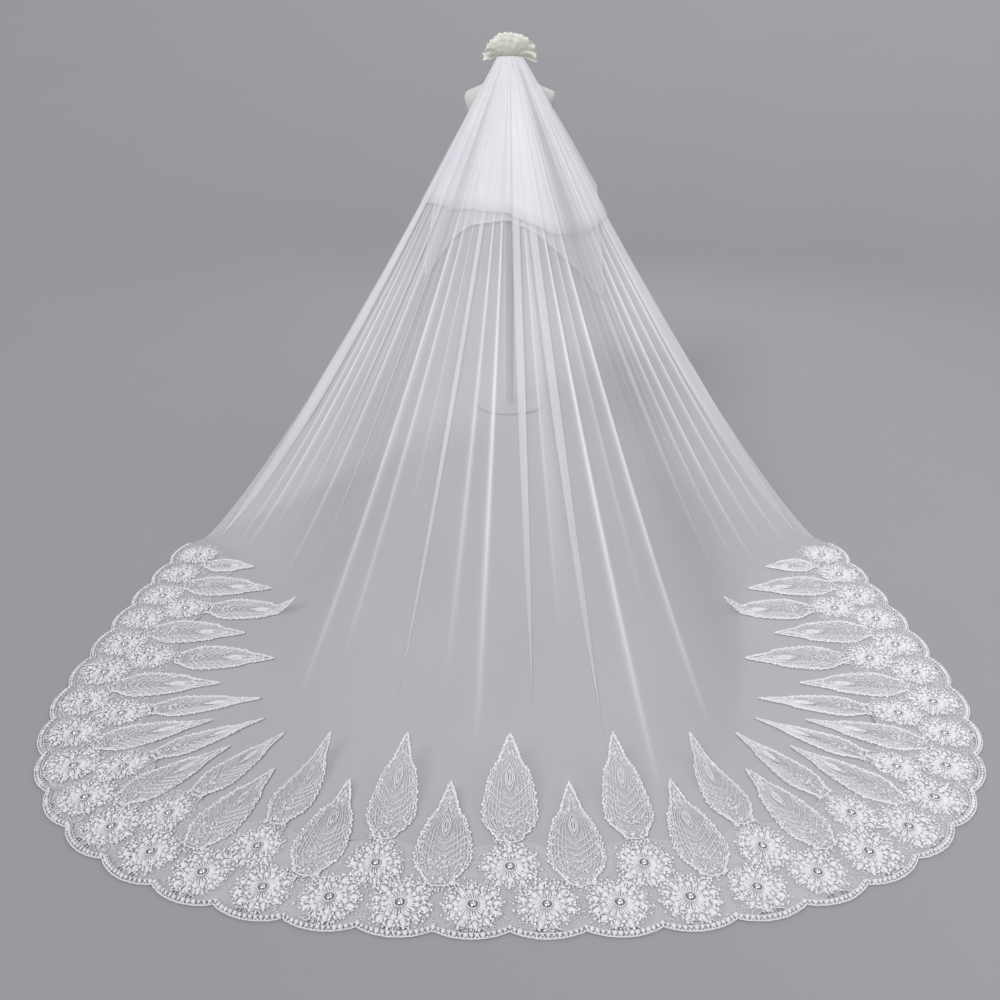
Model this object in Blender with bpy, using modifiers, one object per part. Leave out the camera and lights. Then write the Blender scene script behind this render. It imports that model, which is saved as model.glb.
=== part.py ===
# A two-tier bridal veil with a long lace-edged train, gathered to a hair comb under an
# ivory fabric flower, and shown on a plain dress form without head or limbs.
# Metres, +Z up. The origin is the centre of the stand's base on the floor, the form
# faces +Y and the train spreads towards -Y. Angles on the veil are degrees about the
# form's axis, measured from -Y, positive towards +X. Distances run out from that axis.

import math

import bmesh
import bpy
import numpy as np
from mathutils import Vector
from mathutils.bvhtree import BVHTree
from mathutils.geometry import delaunay_2d_cdt

SEAM = 0.0003
TULLE = 0.0018
LACE = 0.0018

# Stand and dress form
BASE_RADIUS = 0.15
BASE_THICKNESS = 0.012
POLE_RADIUS = 0.016
TORSO_BOTTOM = 0.93
NECK_TOP = 1.448
NECK_RADIUS = 0.055
NECK_CAP_THICKNESS = 0.008
NECK_CENTRE_Y = 0.004
TORSO_SIDES = 20
TORSO_ROUNDNESS = 2.3
ARM_PLATE_CENTRE = (0.170, 0.0, 1.280)
ARM_PLATE_HALF_HEIGHT = 0.044
ARM_PLATE_HALF_DEPTH = 0.036
ARM_PLATE_THICKNESS = 0.006
ARM_PLATE_TILT = math.radians(13)
ARMHOLE_CUTTER = 0.2
# height, half width, half depth, centre y
TORSO_SECTIONS = (
    (TORSO_BOTTOM, 0.126, 0.089, 0.003),
    (0.938, 0.134, 0.095, 0.003),
    (0.965, 0.131, 0.094, 0.003),
    (1.000, 0.126, 0.092, 0.004),
    (1.080, 0.137, 0.098, 0.008),
    (1.160, 0.155, 0.118, 0.016),
    (1.215, 0.168, 0.122, 0.018),
    (1.265, 0.186, 0.104, 0.008),
    (1.305, 0.194, 0.084, 0.000),
    (1.326, 0.188, 0.072, -0.003),
    (1.340, 0.168, 0.066, -0.005),
    (1.352, 0.138, 0.062, -0.006),
    (1.370, 0.096, 0.060, -0.004),
    (1.390, 0.067, 0.057, 0.000),
    (1.412, 0.058, 0.054, 0.003),
    (NECK_TOP, NECK_RADIUS, 0.052, NECK_CENTRE_Y),
)

# Comb, laid over the neck cap with its spine towards the veil
COMB_BOTTOM = NECK_TOP + NECK_CAP_THICKNESS + 2 * SEAM
COMB_THICKNESS = 0.003
COMB_OUTER = 0.0882
COMB_SPINE_WIDTH = 0.0065
COMB_HALF_ANGLE = 36
COMB_TEETH = 11
COMB_TOOTH_WIDTH = 0.0026
COMB_TOOTH_LENGTH = 0.054

# Headpiece: a pad on the comb that carries rows of ruffled fabric
PAD_CENTRE = (0.0, -0.036)
PAD_HALF_WIDTH = 0.050
PAD_HALF_DEPTH = 0.026
PAD_THICKNESS = 0.005
PAD_TOP = COMB_BOTTOM + COMB_THICKNESS + SEAM + PAD_THICKNESS
FABRIC = 0.0016
FAN_ROOT_HALF_WIDTH = 0.042
FAN_RISE = 0.012
FAN_POINTS_PER_WAVE = 4
FAN_SCALLOP = 0.045
FAN_ROWS = (0.0, 0.4, 0.75, 1.0)
# name, root y, lean (degrees back), half width, height, sweep (degrees), waves, ripple
FANS = (
    ("headpiece_ruffle_back", -0.055, 16, 0.110, 0.086, 97, 8, 0.0035),
    ("headpiece_ruffle_middle", -0.042, 3, 0.103, 0.088, 88, 7, 0.0050),
    ("headpiece_ruffle_front", -0.029, -14, 0.094, 0.078, 84, 6, 0.0055),
    ("headpiece_ruffle_low", -0.017, -38, 0.080, 0.066, 80, 5, 0.0045),
)
# side, root x, root y, tip x, tip z
PETALS = (
    ("left", -0.0506, -0.034, -0.108, 1.452),
    ("right", 0.0506, -0.034, 0.112, 1.444),
)
PETAL_HALF_WIDTH = 0.012
PETAL_CUP = 0.008
PETAL_CURL = 0.004
PETAL_DROOP = 1.4
PETAL_TWIST = math.radians(45)

# Veil: the height falls from the comb to the line where the tulle meets the floor
GATHER_DISTANCE = COMB_OUTER + SEAM
GATHER_HEIGHT = COMB_BOTTOM + 0.0006
SAG = 1.2
SIDE_ANGLE = 34.65
SIDE_REACH = 1.715
FRONT_REACH = 2.77
REACH_TURN = 15.5
REACH_SHARPNESS = 4.5

# Hem of the train on the floor
CORNER = (1.03, -1.49)
SIDE_HALF_WIDTH = 1.075
SIDE_END_Y = -2.2
FRONT_DEPTH = 0.84
FRONT_ROUNDNESS = 2.5
HEM_SAMPLES = 400

# Lace: two scallops make one repeat
REPEATS = 17
SCALLOPS = 2 * REPEATS
LOBE = 0.018
LOBE_SHARPNESS = 0.7
LOBE_POINTS = 5
BAND_WIDTH = 0.205
BAND_WAVE = 0.014
BAND_TAPER = 0.20
BAND_END_WIDTH = 0.100
CORD = 0.008
CRESCENT_HALF_LENGTH = 0.028
CRESCENT_WIDTH = 0.013
CRESCENT_BRIDGE = 0.0025
MEDALLION_RADIUS = 0.052
OUTER_MEDALLION_DEPTH = 0.060
INNER_MEDALLION_DEPTH = 0.152
MEDALLION_SIDES = 8
MEDALLION_RING = 0.66
MEDALLION_RAISE = 0.0020
MEDALLION_CENTRE_RAISE = 0.0012
# name, first repeat, end repeat
BAND_STRETCHES = (
    ("lace_band_left_side", 0, 3),
    ("lace_band_left_corner", 3, 7),
    ("lace_band_front", 7, 10),
    ("lace_band_right_corner", 10, 14),
    ("lace_band_right_side", 14, 17),
)

# Leaves: distance of base and tip from the hem
TALL_LEAF = (0.222, 0.470)
SHORT_LEAF = (0.108, 0.360)
END_LEAF = (0.118, 0.262)
LEAF_HALF_WIDTH = 0.058
LEAF_THICKNESS = 0.0012
LEAF_RIDGE = 0.0016
LEAF_CLEARANCE = 0.0030
LEAF_CLEARANCE_RUN = 0.020
END_LEAF_WIDTH = 0.7
GROUND_PROBE = 0.001
# share of the length, share of the half width
LEAF_OUTLINE = (
    (0.00, 0.58),
    (0.10, 0.72),
    (0.27, 1.00),
    (0.57, 0.82),
    (0.69, 0.64),
    (0.76, 0.40),
    (0.90, 0.22),
    (1.00, 0.04),
)

# Folds of the long tier: angle, half width (degrees), height (mm), share of the reach
# where the fold fades out
FOLDS = (
    (-32.6, 1.30, 15, 0.97),
    (-28.5, 0.80, 16, 0.95),
    (-26.4, 0.70, 12, 0.90),
    (-23.9, 0.90, 18, 0.97),
    (-20.8, 0.80, 13, 0.93),
    (-16.6, 0.90, 17, 0.96),
    (-11.8, 0.90, 15, 0.92),
    (-9.6, 0.60, 10, 0.85),
    (-5.8, 1.00, 19, 0.90),
    (-3.4, 0.60, 11, 0.84),
    (-1.6, 0.60, 13, 0.90),
    (1.1, 1.00, 22, 0.92),
    (2.9, 0.50, 9, 0.80),
    (4.5, 0.90, 20, 0.94),
    (6.6, 0.55, 14, 0.95),
    (8.4, 0.55, 8, 0.80),
    (10.2, 0.60, 15, 0.93),
    (17.8, 1.00, 18, 0.96),
    (21.9, 0.80, 13, 0.92),
    (24.6, 0.80, 16, 0.95),
    (27.6, 0.80, 12, 0.93),
    (30.4, 0.70, 14, 0.96),
    (33.0, 0.90, 16, 0.97),
)
FOLD_SWELL = 0.7
# shares of the way from the comb to the floor line where the long tier has a row
AIR_ROWS = (0.0, 0.05, 0.15, 0.30, 0.48, 0.68, 0.86, 1.0)
FLOOR_ROWS = (0.5, 1.0)
EDGE_CLEARANCE = 0.0011
COLUMN_SPACING = 0.11
# name, first angle, end angle
LONG_STRETCHES = (
    ("long_tier_left", -SIDE_ANGLE, -18.9),
    ("long_tier_centre_left", -18.9, -0.3),
    ("long_tier_centre_right", -0.3, 14.0),
    ("long_tier_right", 14.0, SIDE_ANGLE),
)

# Short tier: angle, distance of the hem from the axis
SHORT_HEM = (
    (-33.0, 0.42),
    (-28.5, 0.57),
    (-23.9, 0.72),
    (-20.8, 0.85),
    (-17.7, 0.95),
    (-11.8, 0.93),
    (-6.8, 0.91),
    (0.0, 0.89),
    (3.4, 0.96),
    (6.6, 1.03),
    (10.2, 1.08),
    (14.6, 1.08),
    (17.8, 1.03),
    (21.9, 0.88),
    (27.6, 0.70),
    (33.0, 0.61),
    (36.4, 0.55),
)
SHORT_ROWS = (0.0, 0.06, 0.2, 0.45, 0.72, 1.0)
SHORT_LIFT = 0.009
SHORT_LIFT_RUN = 0.30
PROUD_EDGE = 0.020
PROUD_ANGLE = 30.0
# angle, half width (degrees), height (mm) of its own folds at the hem
SHORT_FOLDS = (
    (-25.2, 0.9, 12),
    (-14.6, 1.1, 14),
    (-7.9, 0.9, 10),
    (-0.3, 0.9, 12),
    (12.8, 1.1, 14),
    (19.9, 0.9, 12),
    (29.2, 0.8, 10),
)

# name: colour, roughness, metallic
MATERIALS = {
    "tulle": ((0.86, 0.86, 0.90, 1.0), 0.55, 0.0),
    "lace": ((0.88, 0.88, 0.89, 1.0), 0.45, 0.0),
    "ivory_fabric": ((0.72, 0.71, 0.62, 1.0), 0.70, 0.0),
    "form_cover": ((0.62, 0.62, 0.60, 1.0), 0.80, 0.0),
    "stand_metal": ((0.80, 0.80, 0.79, 1.0), 0.40, 0.0),
    "clear_plastic": ((0.80, 0.80, 0.80, 1.0), 0.20, 0.0),
}


def clear_scene():
    for item in list(bpy.data.objects):
        bpy.data.objects.remove(item, do_unlink=True)


def new_collection(name):
    collection = bpy.data.collections.new(name)
    bpy.context.scene.collection.children.link(collection)
    return collection


def material(name):
    found = bpy.data.materials.get(name)
    if found:
        return found
    colour, roughness, metallic = MATERIALS[name]
    made = bpy.data.materials.new(name)
    made.use_nodes = True
    shader = made.node_tree.nodes["Principled BSDF"]
    shader.inputs["Base Color"].default_value = colour
    shader.inputs["Roughness"].default_value = roughness
    shader.inputs["Metallic"].default_value = metallic
    made.diffuse_color = colour
    return made


def add_object(name, data, look, collection):
    made = bpy.data.objects.new(name, data)
    collection.objects.link(made)
    if look:
        data.materials.append(material(look))
    return made


def add_bmesh(name, bm, look, collection, smooth_angle=40):
    bmesh.ops.recalc_face_normals(bm, faces=bm.faces[:])
    mesh = bpy.data.meshes.new(name)
    bm.to_mesh(mesh)
    bm.free()
    mesh.shade_smooth()
    mesh.set_sharp_from_angle(angle=math.radians(smooth_angle))
    return add_object(name, mesh, look, collection)


def add_cylinder(name, radius, bottom, height, look, collection, centre_y=0.0, sides=32):
    bm = bmesh.new()
    bmesh.ops.create_cone(
        bm, cap_ends=True, segments=sides, radius1=radius, radius2=radius, depth=height
    )
    made = add_bmesh(name, bm, look, collection)
    made.location = (0.0, centre_y, bottom + height / 2)
    return made


def add_bevel(item, width, segments=2):
    bevel = item.modifiers.new("rounded edge", "BEVEL")
    bevel.width = width
    bevel.segments = segments
    bevel.limit_method = "ANGLE"
    bevel.angle_limit = math.radians(50)


def flat_outline(name, loops, bottom, thickness, look, collection):
    """A flat plate from closed outlines in plan: the first is its edge, the others are holes."""
    curve = bpy.data.curves.new(name, "CURVE")
    curve.dimensions = "2D"
    curve.fill_mode = "BOTH"
    curve.extrude = thickness / 2
    for loop in loops:
        spline = curve.splines.new("POLY")
        spline.points.add(len(loop) - 1)
        for point, (x, y) in zip(spline.points, loop):
            point.co = (x, y, 0.0, 1.0)
        spline.use_cyclic_u = True
    made = add_object(name, curve, look, collection)
    made.location.z = bottom + thickness / 2
    return made


# Dress form and stand


def torso_ring(height, half_width, half_depth, centre_y):
    power = 2 / TORSO_ROUNDNESS
    ring = []
    for step in range(TORSO_SIDES):
        turn = 2 * math.pi * step / TORSO_SIDES
        across, along = math.cos(turn), math.sin(turn)
        ring.append(
            (
                math.copysign(abs(across) ** power, across) * half_width,
                centre_y + math.copysign(abs(along) ** power, along) * half_depth,
                height,
            )
        )
    return ring


def add_torso(parts, cutters):
    bm = bmesh.new()
    rings = [[bm.verts.new(p) for p in torso_ring(*section)] for section in TORSO_SECTIONS]
    for lower, upper in zip(rings, rings[1:]):
        for step in range(TORSO_SIDES):
            after = (step + 1) % TORSO_SIDES
            bm.faces.new((lower[step], lower[after], upper[after], upper[step]))
    bm.faces.new(rings[0][::-1])
    bm.faces.new(rings[-1])
    torso = add_bmesh("form_torso", bm, "form_cover", parts)
    for side in (-1, 1):
        cut_armhole(torso, side, cutters)


def cut_armhole(torso, side, cutters):
    """Flattens the shoulder's end, so that the arm plate has a seat."""
    bm = bmesh.new()
    bmesh.ops.create_cube(bm, size=ARMHOLE_CUTTER)
    name = "armhole_cutter_left" if side < 0 else "armhole_cutter_right"
    cutter = add_bmesh(name, bm, None, cutters)
    outward = Vector((side * math.cos(ARM_PLATE_TILT), 0.0, -math.sin(ARM_PLATE_TILT)))
    seat = Vector((side * ARM_PLATE_CENTRE[0], *ARM_PLATE_CENTRE[1:]))
    cutter.location = seat + outward * ARMHOLE_CUTTER / 2
    cutter.rotation_euler.y = side * ARM_PLATE_TILT
    cutter.hide_render = True
    cutter.display_type = "WIRE"
    cut = torso.modifiers.new("armhole", "BOOLEAN")
    cut.operation = "DIFFERENCE"
    cut.object = cutter


def add_arm_plate(side, parts):
    bm = bmesh.new()
    bmesh.ops.create_cone(
        bm, cap_ends=True, segments=24, radius1=1.0, radius2=1.0, depth=ARM_PLATE_THICKNESS
    )
    bmesh.ops.scale(bm, vec=(ARM_PLATE_HALF_HEIGHT, ARM_PLATE_HALF_DEPTH, 1.0), verts=bm.verts)
    name = "form_arm_plate_left" if side < 0 else "form_arm_plate_right"
    plate = add_bmesh(name, bm, "form_cover", parts)
    outward = Vector((side * math.cos(ARM_PLATE_TILT), 0.0, -math.sin(ARM_PLATE_TILT)))
    seat = Vector((side * ARM_PLATE_CENTRE[0], *ARM_PLATE_CENTRE[1:]))
    plate.location = seat + outward * (SEAM + ARM_PLATE_THICKNESS / 2)
    plate.rotation_euler.y = side * (math.pi / 2 + ARM_PLATE_TILT)


def add_form(parts, cutters):
    base = add_cylinder("stand_base", BASE_RADIUS, 0.0, BASE_THICKNESS, "stand_metal", parts, sides=40)
    add_bevel(base, 0.003, segments=1)
    pole_bottom = BASE_THICKNESS + SEAM
    pole_length = TORSO_BOTTOM - SEAM - pole_bottom
    add_cylinder("stand_pole", POLE_RADIUS, pole_bottom, pole_length, "stand_metal", parts, sides=20)
    add_torso(parts, cutters)
    for side in (-1, 1):
        add_arm_plate(side, parts)
    cap_bottom = NECK_TOP + SEAM
    cap = add_cylinder(
        "form_neck_cap", NECK_RADIUS + 0.002, cap_bottom, NECK_CAP_THICKNESS, "form_cover", parts,
        centre_y=NECK_CENTRE_Y, sides=28,
    )
    add_bevel(cap, 0.0015, segments=1)


# Comb and headpiece


def on_arc(distance, angle):
    turn = math.radians(angle)
    return (distance * math.sin(turn), -distance * math.cos(turn))


def comb_outline():
    spine = [
        on_arc(COMB_OUTER, angle)
        for angle in np.linspace(-COMB_HALF_ANGLE, COMB_HALF_ANGLE, 13)
    ]
    inner = COMB_OUTER - COMB_SPINE_WIDTH
    reach = inner * math.sin(math.radians(COMB_HALF_ANGLE)) - COMB_TOOTH_WIDTH
    outline = list(spine)
    outline.append(on_arc(inner, COMB_HALF_ANGLE))
    for x in np.linspace(reach, -reach, COMB_TEETH):
        for edge in (x + COMB_TOOTH_WIDTH / 2, x - COMB_TOOTH_WIDTH / 2):
            root_y = -math.sqrt(inner**2 - edge**2)
            tip_y = root_y + COMB_TOOTH_LENGTH
            sides = ((edge, root_y), (edge, tip_y))
            outline.extend(sides if edge > x else sides[::-1])
    outline.append(on_arc(inner, -COMB_HALF_ANGLE))
    return outline


def add_comb(parts):
    flat_outline("comb", [comb_outline()], COMB_BOTTOM, COMB_THICKNESS, "clear_plastic", parts)


def grid_sheet(columns, rows, place):
    """An open sheet of rows x columns points, each set by place(column, row)."""
    bm = bmesh.new()
    bmesh.ops.create_grid(bm, x_segments=columns - 1, y_segments=rows - 1, size=0.5)
    bm.verts.ensure_lookup_table()
    for row in range(rows):
        for column in range(columns):
            bm.verts[row * columns + column].co = place(column, row)
    return bm


def cloth_wall(name, bm, thickness, look, parts):
    """Makes an open sheet a wall: a lifted copy of it, raised where its relief says."""
    relief = bm.verts.layers.float.get("relief") or bm.verts.layers.float.new("relief")
    lifted = bmesh.ops.extrude_face_region(bm, geom=bm.faces[:])
    for item in lifted["geom"]:
        if isinstance(item, bmesh.types.BMVert):
            item.co.z += thickness + item[relief]
    return add_bmesh(name, bm, look, parts, smooth_angle=60)


def add_shell(item):
    shell = item.modifiers.new("fabric", "SOLIDIFY")
    shell.thickness = FABRIC
    shell.offset = 0.0


def add_fan(name, root_y, lean, half_width, height, sweep, waves, ripple, parts):
    """A gathered half-round ruffle: its root is on the pad and its edge is scalloped."""
    columns = waves * FAN_POINTS_PER_WAVE + 1
    root_z = PAD_TOP + FABRIC / 2
    slope = math.tan(math.radians(lean))

    def place(column, row):
        across = 2 * column / (columns - 1) - 1
        out = FAN_ROWS[row]
        turn = math.radians(across * sweep)
        wave = math.cos(math.pi * (across + 1) * waves)
        scallop = 1 - FAN_SCALLOP * out * (1 + wave) / 2
        tip_x = half_width * math.sin(turn) * scallop
        tip_z = height * math.cos(turn) * scallop
        x = FAN_ROOT_HALF_WIDTH * across * (1 - out) + tip_x * out
        z = tip_z * out + FAN_RISE * math.sin(math.pi * out)
        y = root_y - slope * max(z, 0.0) - ripple * wave * out
        return (x, y, root_z + z)

    bm = grid_sheet(columns, len(FAN_ROWS), place)
    fan = add_bmesh(name, bm, "ivory_fabric", parts, smooth_angle=70)
    add_shell(fan)


def add_petal(side, root_x, root_y, tip_x, tip_z, parts):
    """A cupped petal that droops from the pad's end."""
    columns, rows = 5, 5
    root_z = PAD_TOP - PAD_THICKNESS / 2

    def place(column, row):
        across = 2 * column / (columns - 1) - 1
        out = row / (rows - 1)
        half = PETAL_HALF_WIDTH * (0.5 + math.sin(math.pi * (0.1 + 0.8 * out)))
        curl = math.copysign(PETAL_CURL, root_x) * across**2
        x = root_x + (tip_x - root_x - curl) * out
        turn = PETAL_TWIST * out
        y = root_y + half * across * math.cos(turn)
        z = root_z + (tip_z - root_z) * out**PETAL_DROOP + half * across * math.sin(turn)
        z += PETAL_CUP * (across**2 - 0.3) * out
        return (x, y, z)

    bm = grid_sheet(columns, rows, place)
    petal = add_bmesh(f"headpiece_petal_{side}", bm, "ivory_fabric", parts, smooth_angle=70)
    add_shell(petal)


def add_headpiece(parts):
    bm = bmesh.new()
    bmesh.ops.create_cone(
        bm, cap_ends=True, segments=24, radius1=1.0, radius2=1.0, depth=PAD_THICKNESS
    )
    bmesh.ops.scale(bm, vec=(PAD_HALF_WIDTH, PAD_HALF_DEPTH, 1.0), verts=bm.verts)
    pad = add_bmesh("headpiece_pad", bm, "ivory_fabric", parts)
    pad.location = (*PAD_CENTRE, PAD_TOP - PAD_THICKNESS / 2)
    for row in FANS:
        add_fan(*row, parts)
    for row in PETALS:
        add_petal(*row, parts)


# Veil surface


def reach(angle):
    """Distance from the axis at which the tulle meets the floor."""
    fall = 1 + (abs(angle) / REACH_TURN) ** REACH_SHARPNESS
    return SIDE_REACH + (FRONT_REACH - SIDE_REACH) / fall


def share_of_reach(angle, distance):
    return (distance - GATHER_DISTANCE) / (reach(angle) - GATHER_DISTANCE)


def drape(angle, distance):
    """Height of the tulle without its folds."""
    left = 1 - share_of_reach(angle, distance)
    return GATHER_HEIGHT * max(left, 0.0) ** SAG


def fold_height(angle, distance):
    """Height that the folds add: each swells below the comb and fades before the floor."""
    share = share_of_reach(angle, distance)
    total = 0.0
    for centre, half_width, height, end in FOLDS:
        across = 1 - abs(angle - centre) / half_width
        if across > 0 and 0 < share < end:
            swell = math.sin(math.pi * (share / end) ** FOLD_SWELL)
            total += across * swell * height / 1000
    return total


def veil_point(angle, distance, lift=0.0):
    x, y = on_arc(distance, angle)
    return (x, y, drape(angle, distance) + fold_height(angle, distance) + lift)


# Hem and lace places


def hem_samples():
    """Points of the hem from the left corner round the front to the right corner."""
    quarter = HEM_SAMPLES // 2
    half = []
    for step in range(quarter):
        share = step / quarter
        x = CORNER[0] + (SIDE_HALF_WIDTH - CORNER[0]) * math.sin(math.pi / 2 * share)
        half.append((x, CORNER[1] + (SIDE_END_Y - CORNER[1]) * share))
    power = 2 / FRONT_ROUNDNESS
    for step in range(quarter + 1):
        turn = math.pi / 2 * step / quarter
        x = SIDE_HALF_WIDTH * max(math.cos(turn), 0.0) ** power
        half.append((x, SIDE_END_Y - FRONT_DEPTH * math.sin(turn) ** power))
    left = [(-x, y) for x, y in half]
    return np.array(left + half[-2::-1])


class Hem:
    """Places on the train, measured along the hem and inwards from it."""

    def __init__(self):
        self.points = hem_samples()
        steps = np.hypot(*np.diff(self.points, axis=0).T)
        self.along = np.concatenate([[0.0], np.cumsum(steps)])
        self.length = self.along[-1]
        self.pitch = self.length / SCALLOPS

    def point(self, along, inward):
        nearby = np.clip((along - 0.02, along + 0.02), 0, self.length)
        ends = [self.on_hem(value) for value in nearby]
        tangent = (ends[1] - ends[0]) / np.linalg.norm(ends[1] - ends[0])
        x, y = self.on_hem(along) + inward * np.array((-tangent[1], tangent[0]))
        return (float(x), float(y))

    def on_hem(self, along):
        return np.array([np.interp(along, self.along, self.points[:, axis]) for axis in (0, 1)])

    def lobe(self, along):
        """How far the scalloped edge stands out from the line through its notches."""
        return LOBE * abs(math.sin(math.pi * along / self.pitch)) ** LOBE_SHARPNESS

    def band_width(self, along):
        from_end = min(along, self.length - along)
        grown = min(from_end / BAND_TAPER, 1.0)
        wave = -math.cos(math.pi * along / self.pitch) * BAND_WAVE
        full = BAND_WIDTH + wave
        return BAND_END_WIDTH + (full - BAND_END_WIDTH) * math.sin(math.pi / 2 * grown)

    def inner_edge(self, along):
        return self.point(along, self.band_width(along))


def angle_of(x, y):
    return math.degrees(math.atan2(x, -y))


# Long tier


class Train:
    """The long tier's columns: rays from the comb to the lace band's inner edge."""

    def __init__(self, hem):
        self.hem = hem
        edge = [hem.inner_edge(along) for along in np.linspace(0.0, hem.length, HEM_SAMPLES)]
        corners = [hem.point(0.0, 0.0), hem.point(hem.length, 0.0)]
        outline = [corners[0], *edge, corners[1]]
        self.edge_angles = [angle_of(x, y) for x, y in outline]
        self.edge_distances = [math.hypot(x, y) for x, y in outline]
        self.angles = self.column_angles()

    def edge_distance(self, angle):
        return float(np.interp(angle, self.edge_angles, self.edge_distances))

    def edge_point(self, angle):
        return on_arc(self.edge_distance(angle), angle)

    def column_angles(self):
        ends = [band[1] for band in BAND_STRETCHES[1:]]
        fixed = [angle_of(*self.hem.inner_edge(2 * end * self.hem.pitch)) for end in ends]
        fixed += [stretch[1] for stretch in LONG_STRETCHES] + [LONG_STRETCHES[-1][2]]
        fixed.sort()
        chosen = list(fixed)
        for centre, half_width, _, _ in FOLDS:
            for angle in (centre, centre - half_width, centre + half_width):
                if min(abs(angle - other) for other in chosen) > 0.3:
                    chosen.append(angle)
        chosen.sort()
        filled = [chosen[0]]
        for angle in chosen[1:]:
            start = np.array(self.edge_point(filled[-1]))
            gap = np.linalg.norm(np.array(self.edge_point(angle)) - start)
            parts = max(1, math.ceil(gap / COLUMN_SPACING))
            filled += list(np.linspace(filled[-1], angle, parts + 1)[1:])
        return filled

    def between(self, first, end):
        return [angle for angle in self.angles if first - 1e-6 <= angle <= end + 1e-6]


def add_long_tier(train, parts):
    for name, first, end in LONG_STRETCHES:
        angles = train.between(first, end)
        rows = len(AIR_ROWS) + len(FLOOR_ROWS)

        def place(column, row, angles=angles):
            angle = angles[column]
            hem_distance = train.edge_distance(angle) - EDGE_CLEARANCE
            floor_distance = min(reach(angle), hem_distance - EDGE_CLEARANCE)
            if row < len(AIR_ROWS):
                run = floor_distance - GATHER_DISTANCE
                distance = GATHER_DISTANCE + run * AIR_ROWS[row]
            else:
                run = hem_distance - floor_distance
                distance = floor_distance + run * FLOOR_ROWS[row - len(AIR_ROWS)]
            x, y, z = veil_point(angle, distance)
            aside = {0: SEAM / 2, len(angles) - 1: -SEAM / 2}.get(column, 0.0)
            turn = math.radians(angle)
            return (x + aside * math.cos(turn), y + aside * math.sin(turn), z)

        bm = grid_sheet(len(angles), rows, place)
        cloth_wall(name, bm, TULLE, "tulle", parts)


# Short tier


def short_tier_lift(angle, distance, share):
    """Height of the short tier over the long one: it stands off more towards its hem."""
    out = min((distance - GATHER_DISTANCE) / SHORT_LIFT_RUN, 1.0)
    lift = TULLE + SEAM + SHORT_LIFT * out
    lift += PROUD_EDGE * out * max(angle - PROUD_ANGLE, 0.0) / (SHORT_HEM[-1][0] - PROUD_ANGLE)
    for centre, half_width, height in SHORT_FOLDS:
        lift += max(1 - abs(angle - centre) / half_width, 0.0) * share * height / 1000
    return lift


def add_short_tier(train, parts):
    hem_angles, hem_distances = zip(*SHORT_HEM)
    chosen = [hem_angles[0], *train.between(hem_angles[0], hem_angles[-1]), hem_angles[-1]]
    for centre, half_width, _ in SHORT_FOLDS:
        chosen += [centre - half_width, centre, centre + half_width]
    angles = sorted({round(angle, 2) for angle in chosen})

    def place(column, row):
        angle = angles[column]
        end = float(np.interp(angle, hem_angles, hem_distances))
        distance = GATHER_DISTANCE + (end - GATHER_DISTANCE) * SHORT_ROWS[row]
        return veil_point(angle, distance, short_tier_lift(angle, distance, SHORT_ROWS[row]))

    bm = grid_sheet(len(angles), len(SHORT_ROWS), place)
    cloth_wall("short_tier", bm, TULLE, "tulle", parts)


# Lace band


def crescent(hem, scallop, side):
    """The open slit between the corded edge and the medallion, on one side of its bridge."""
    middle = (scallop + 0.5) * hem.pitch

    def spot(x, share):
        along = middle + side * x
        width = CRESCENT_WIDTH * math.sqrt(max(1 - (x / CRESCENT_HALF_LENGTH) ** 2, 0.0))
        return hem.point(along, CORD - hem.lobe(along) + width * share)

    half_way = (CRESCENT_BRIDGE + CRESCENT_HALF_LENGTH) / 2
    return [
        spot(CRESCENT_BRIDGE, 0.0),
        spot(half_way, 0.0),
        spot(CRESCENT_HALF_LENGTH, 0.0),
        spot(half_way, 1.0),
        spot(CRESCENT_BRIDGE, 1.0),
    ]


def medallion_places(first, end):
    """Centres of the medallions of these repeats: place along the hem in pitches, depth."""
    places = [(scallop + 0.5, OUTER_MEDALLION_DEPTH) for scallop in range(2 * first, 2 * end)]
    for repeat in range(max(first, 1), min(end, REPEATS - 1)):
        places.append((2 * repeat + 1, INNER_MEDALLION_DEPTH))
    return places


def medallion_rings(hem, place, depth):
    """Outer ring, raised ring and centre, each as a list of (x, y) with its height."""
    rings = []
    for share, height in ((1.0, 0.0), (MEDALLION_RING, MEDALLION_RAISE)):
        ring = []
        for step in range(MEDALLION_SIDES):
            turn = 2 * math.pi * (step + 0.5) / MEDALLION_SIDES
            along = place * hem.pitch + MEDALLION_RADIUS * share * math.cos(turn)
            inward = depth + MEDALLION_RADIUS * share * math.sin(turn)
            ring.append(hem.point(along, inward))
        rings.append((ring, height))
    rings.append(([hem.point(place * hem.pitch, depth)], MEDALLION_CENTRE_RAISE))
    return rings


def band_outline(hem, train, first, end):
    start = 2 * first * hem.pitch + (SEAM / 2 if first else 0.0)
    stop = 2 * end * hem.pitch - (SEAM / 2 if end < REPEATS else 0.0)
    outline = []
    for step in range(2 * (end - first) * LOBE_POINTS + 1):
        along = (2 * first + step / LOBE_POINTS) * hem.pitch
        along = min(max(along, start), stop)
        outline.append(hem.point(along, -hem.lobe(along)))
    first_angle = angle_of(*hem.inner_edge(start)) if first else train.angles[0]
    last_angle = angle_of(*hem.inner_edge(stop)) if end < REPEATS else train.angles[-1]
    inner = [train.edge_point(a) for a in train.between(first_angle + 0.01, last_angle - 0.01)]
    if first:
        inner.insert(0, hem.inner_edge(start))
    if end < REPEATS:
        inner.append(hem.inner_edge(stop))
    return outline + inner[::-1]


def inside(loop, x, y):
    """Whether a point lies within a closed outline."""
    crossings = 0
    for (ax, ay), (bx, by) in zip(loop, loop[1:] + loop[:1]):
        if (ay > y) != (by > y) and x < ax + (y - ay) * (bx - ax) / (by - ay):
            crossings += 1
    return crossings % 2 == 1


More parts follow.
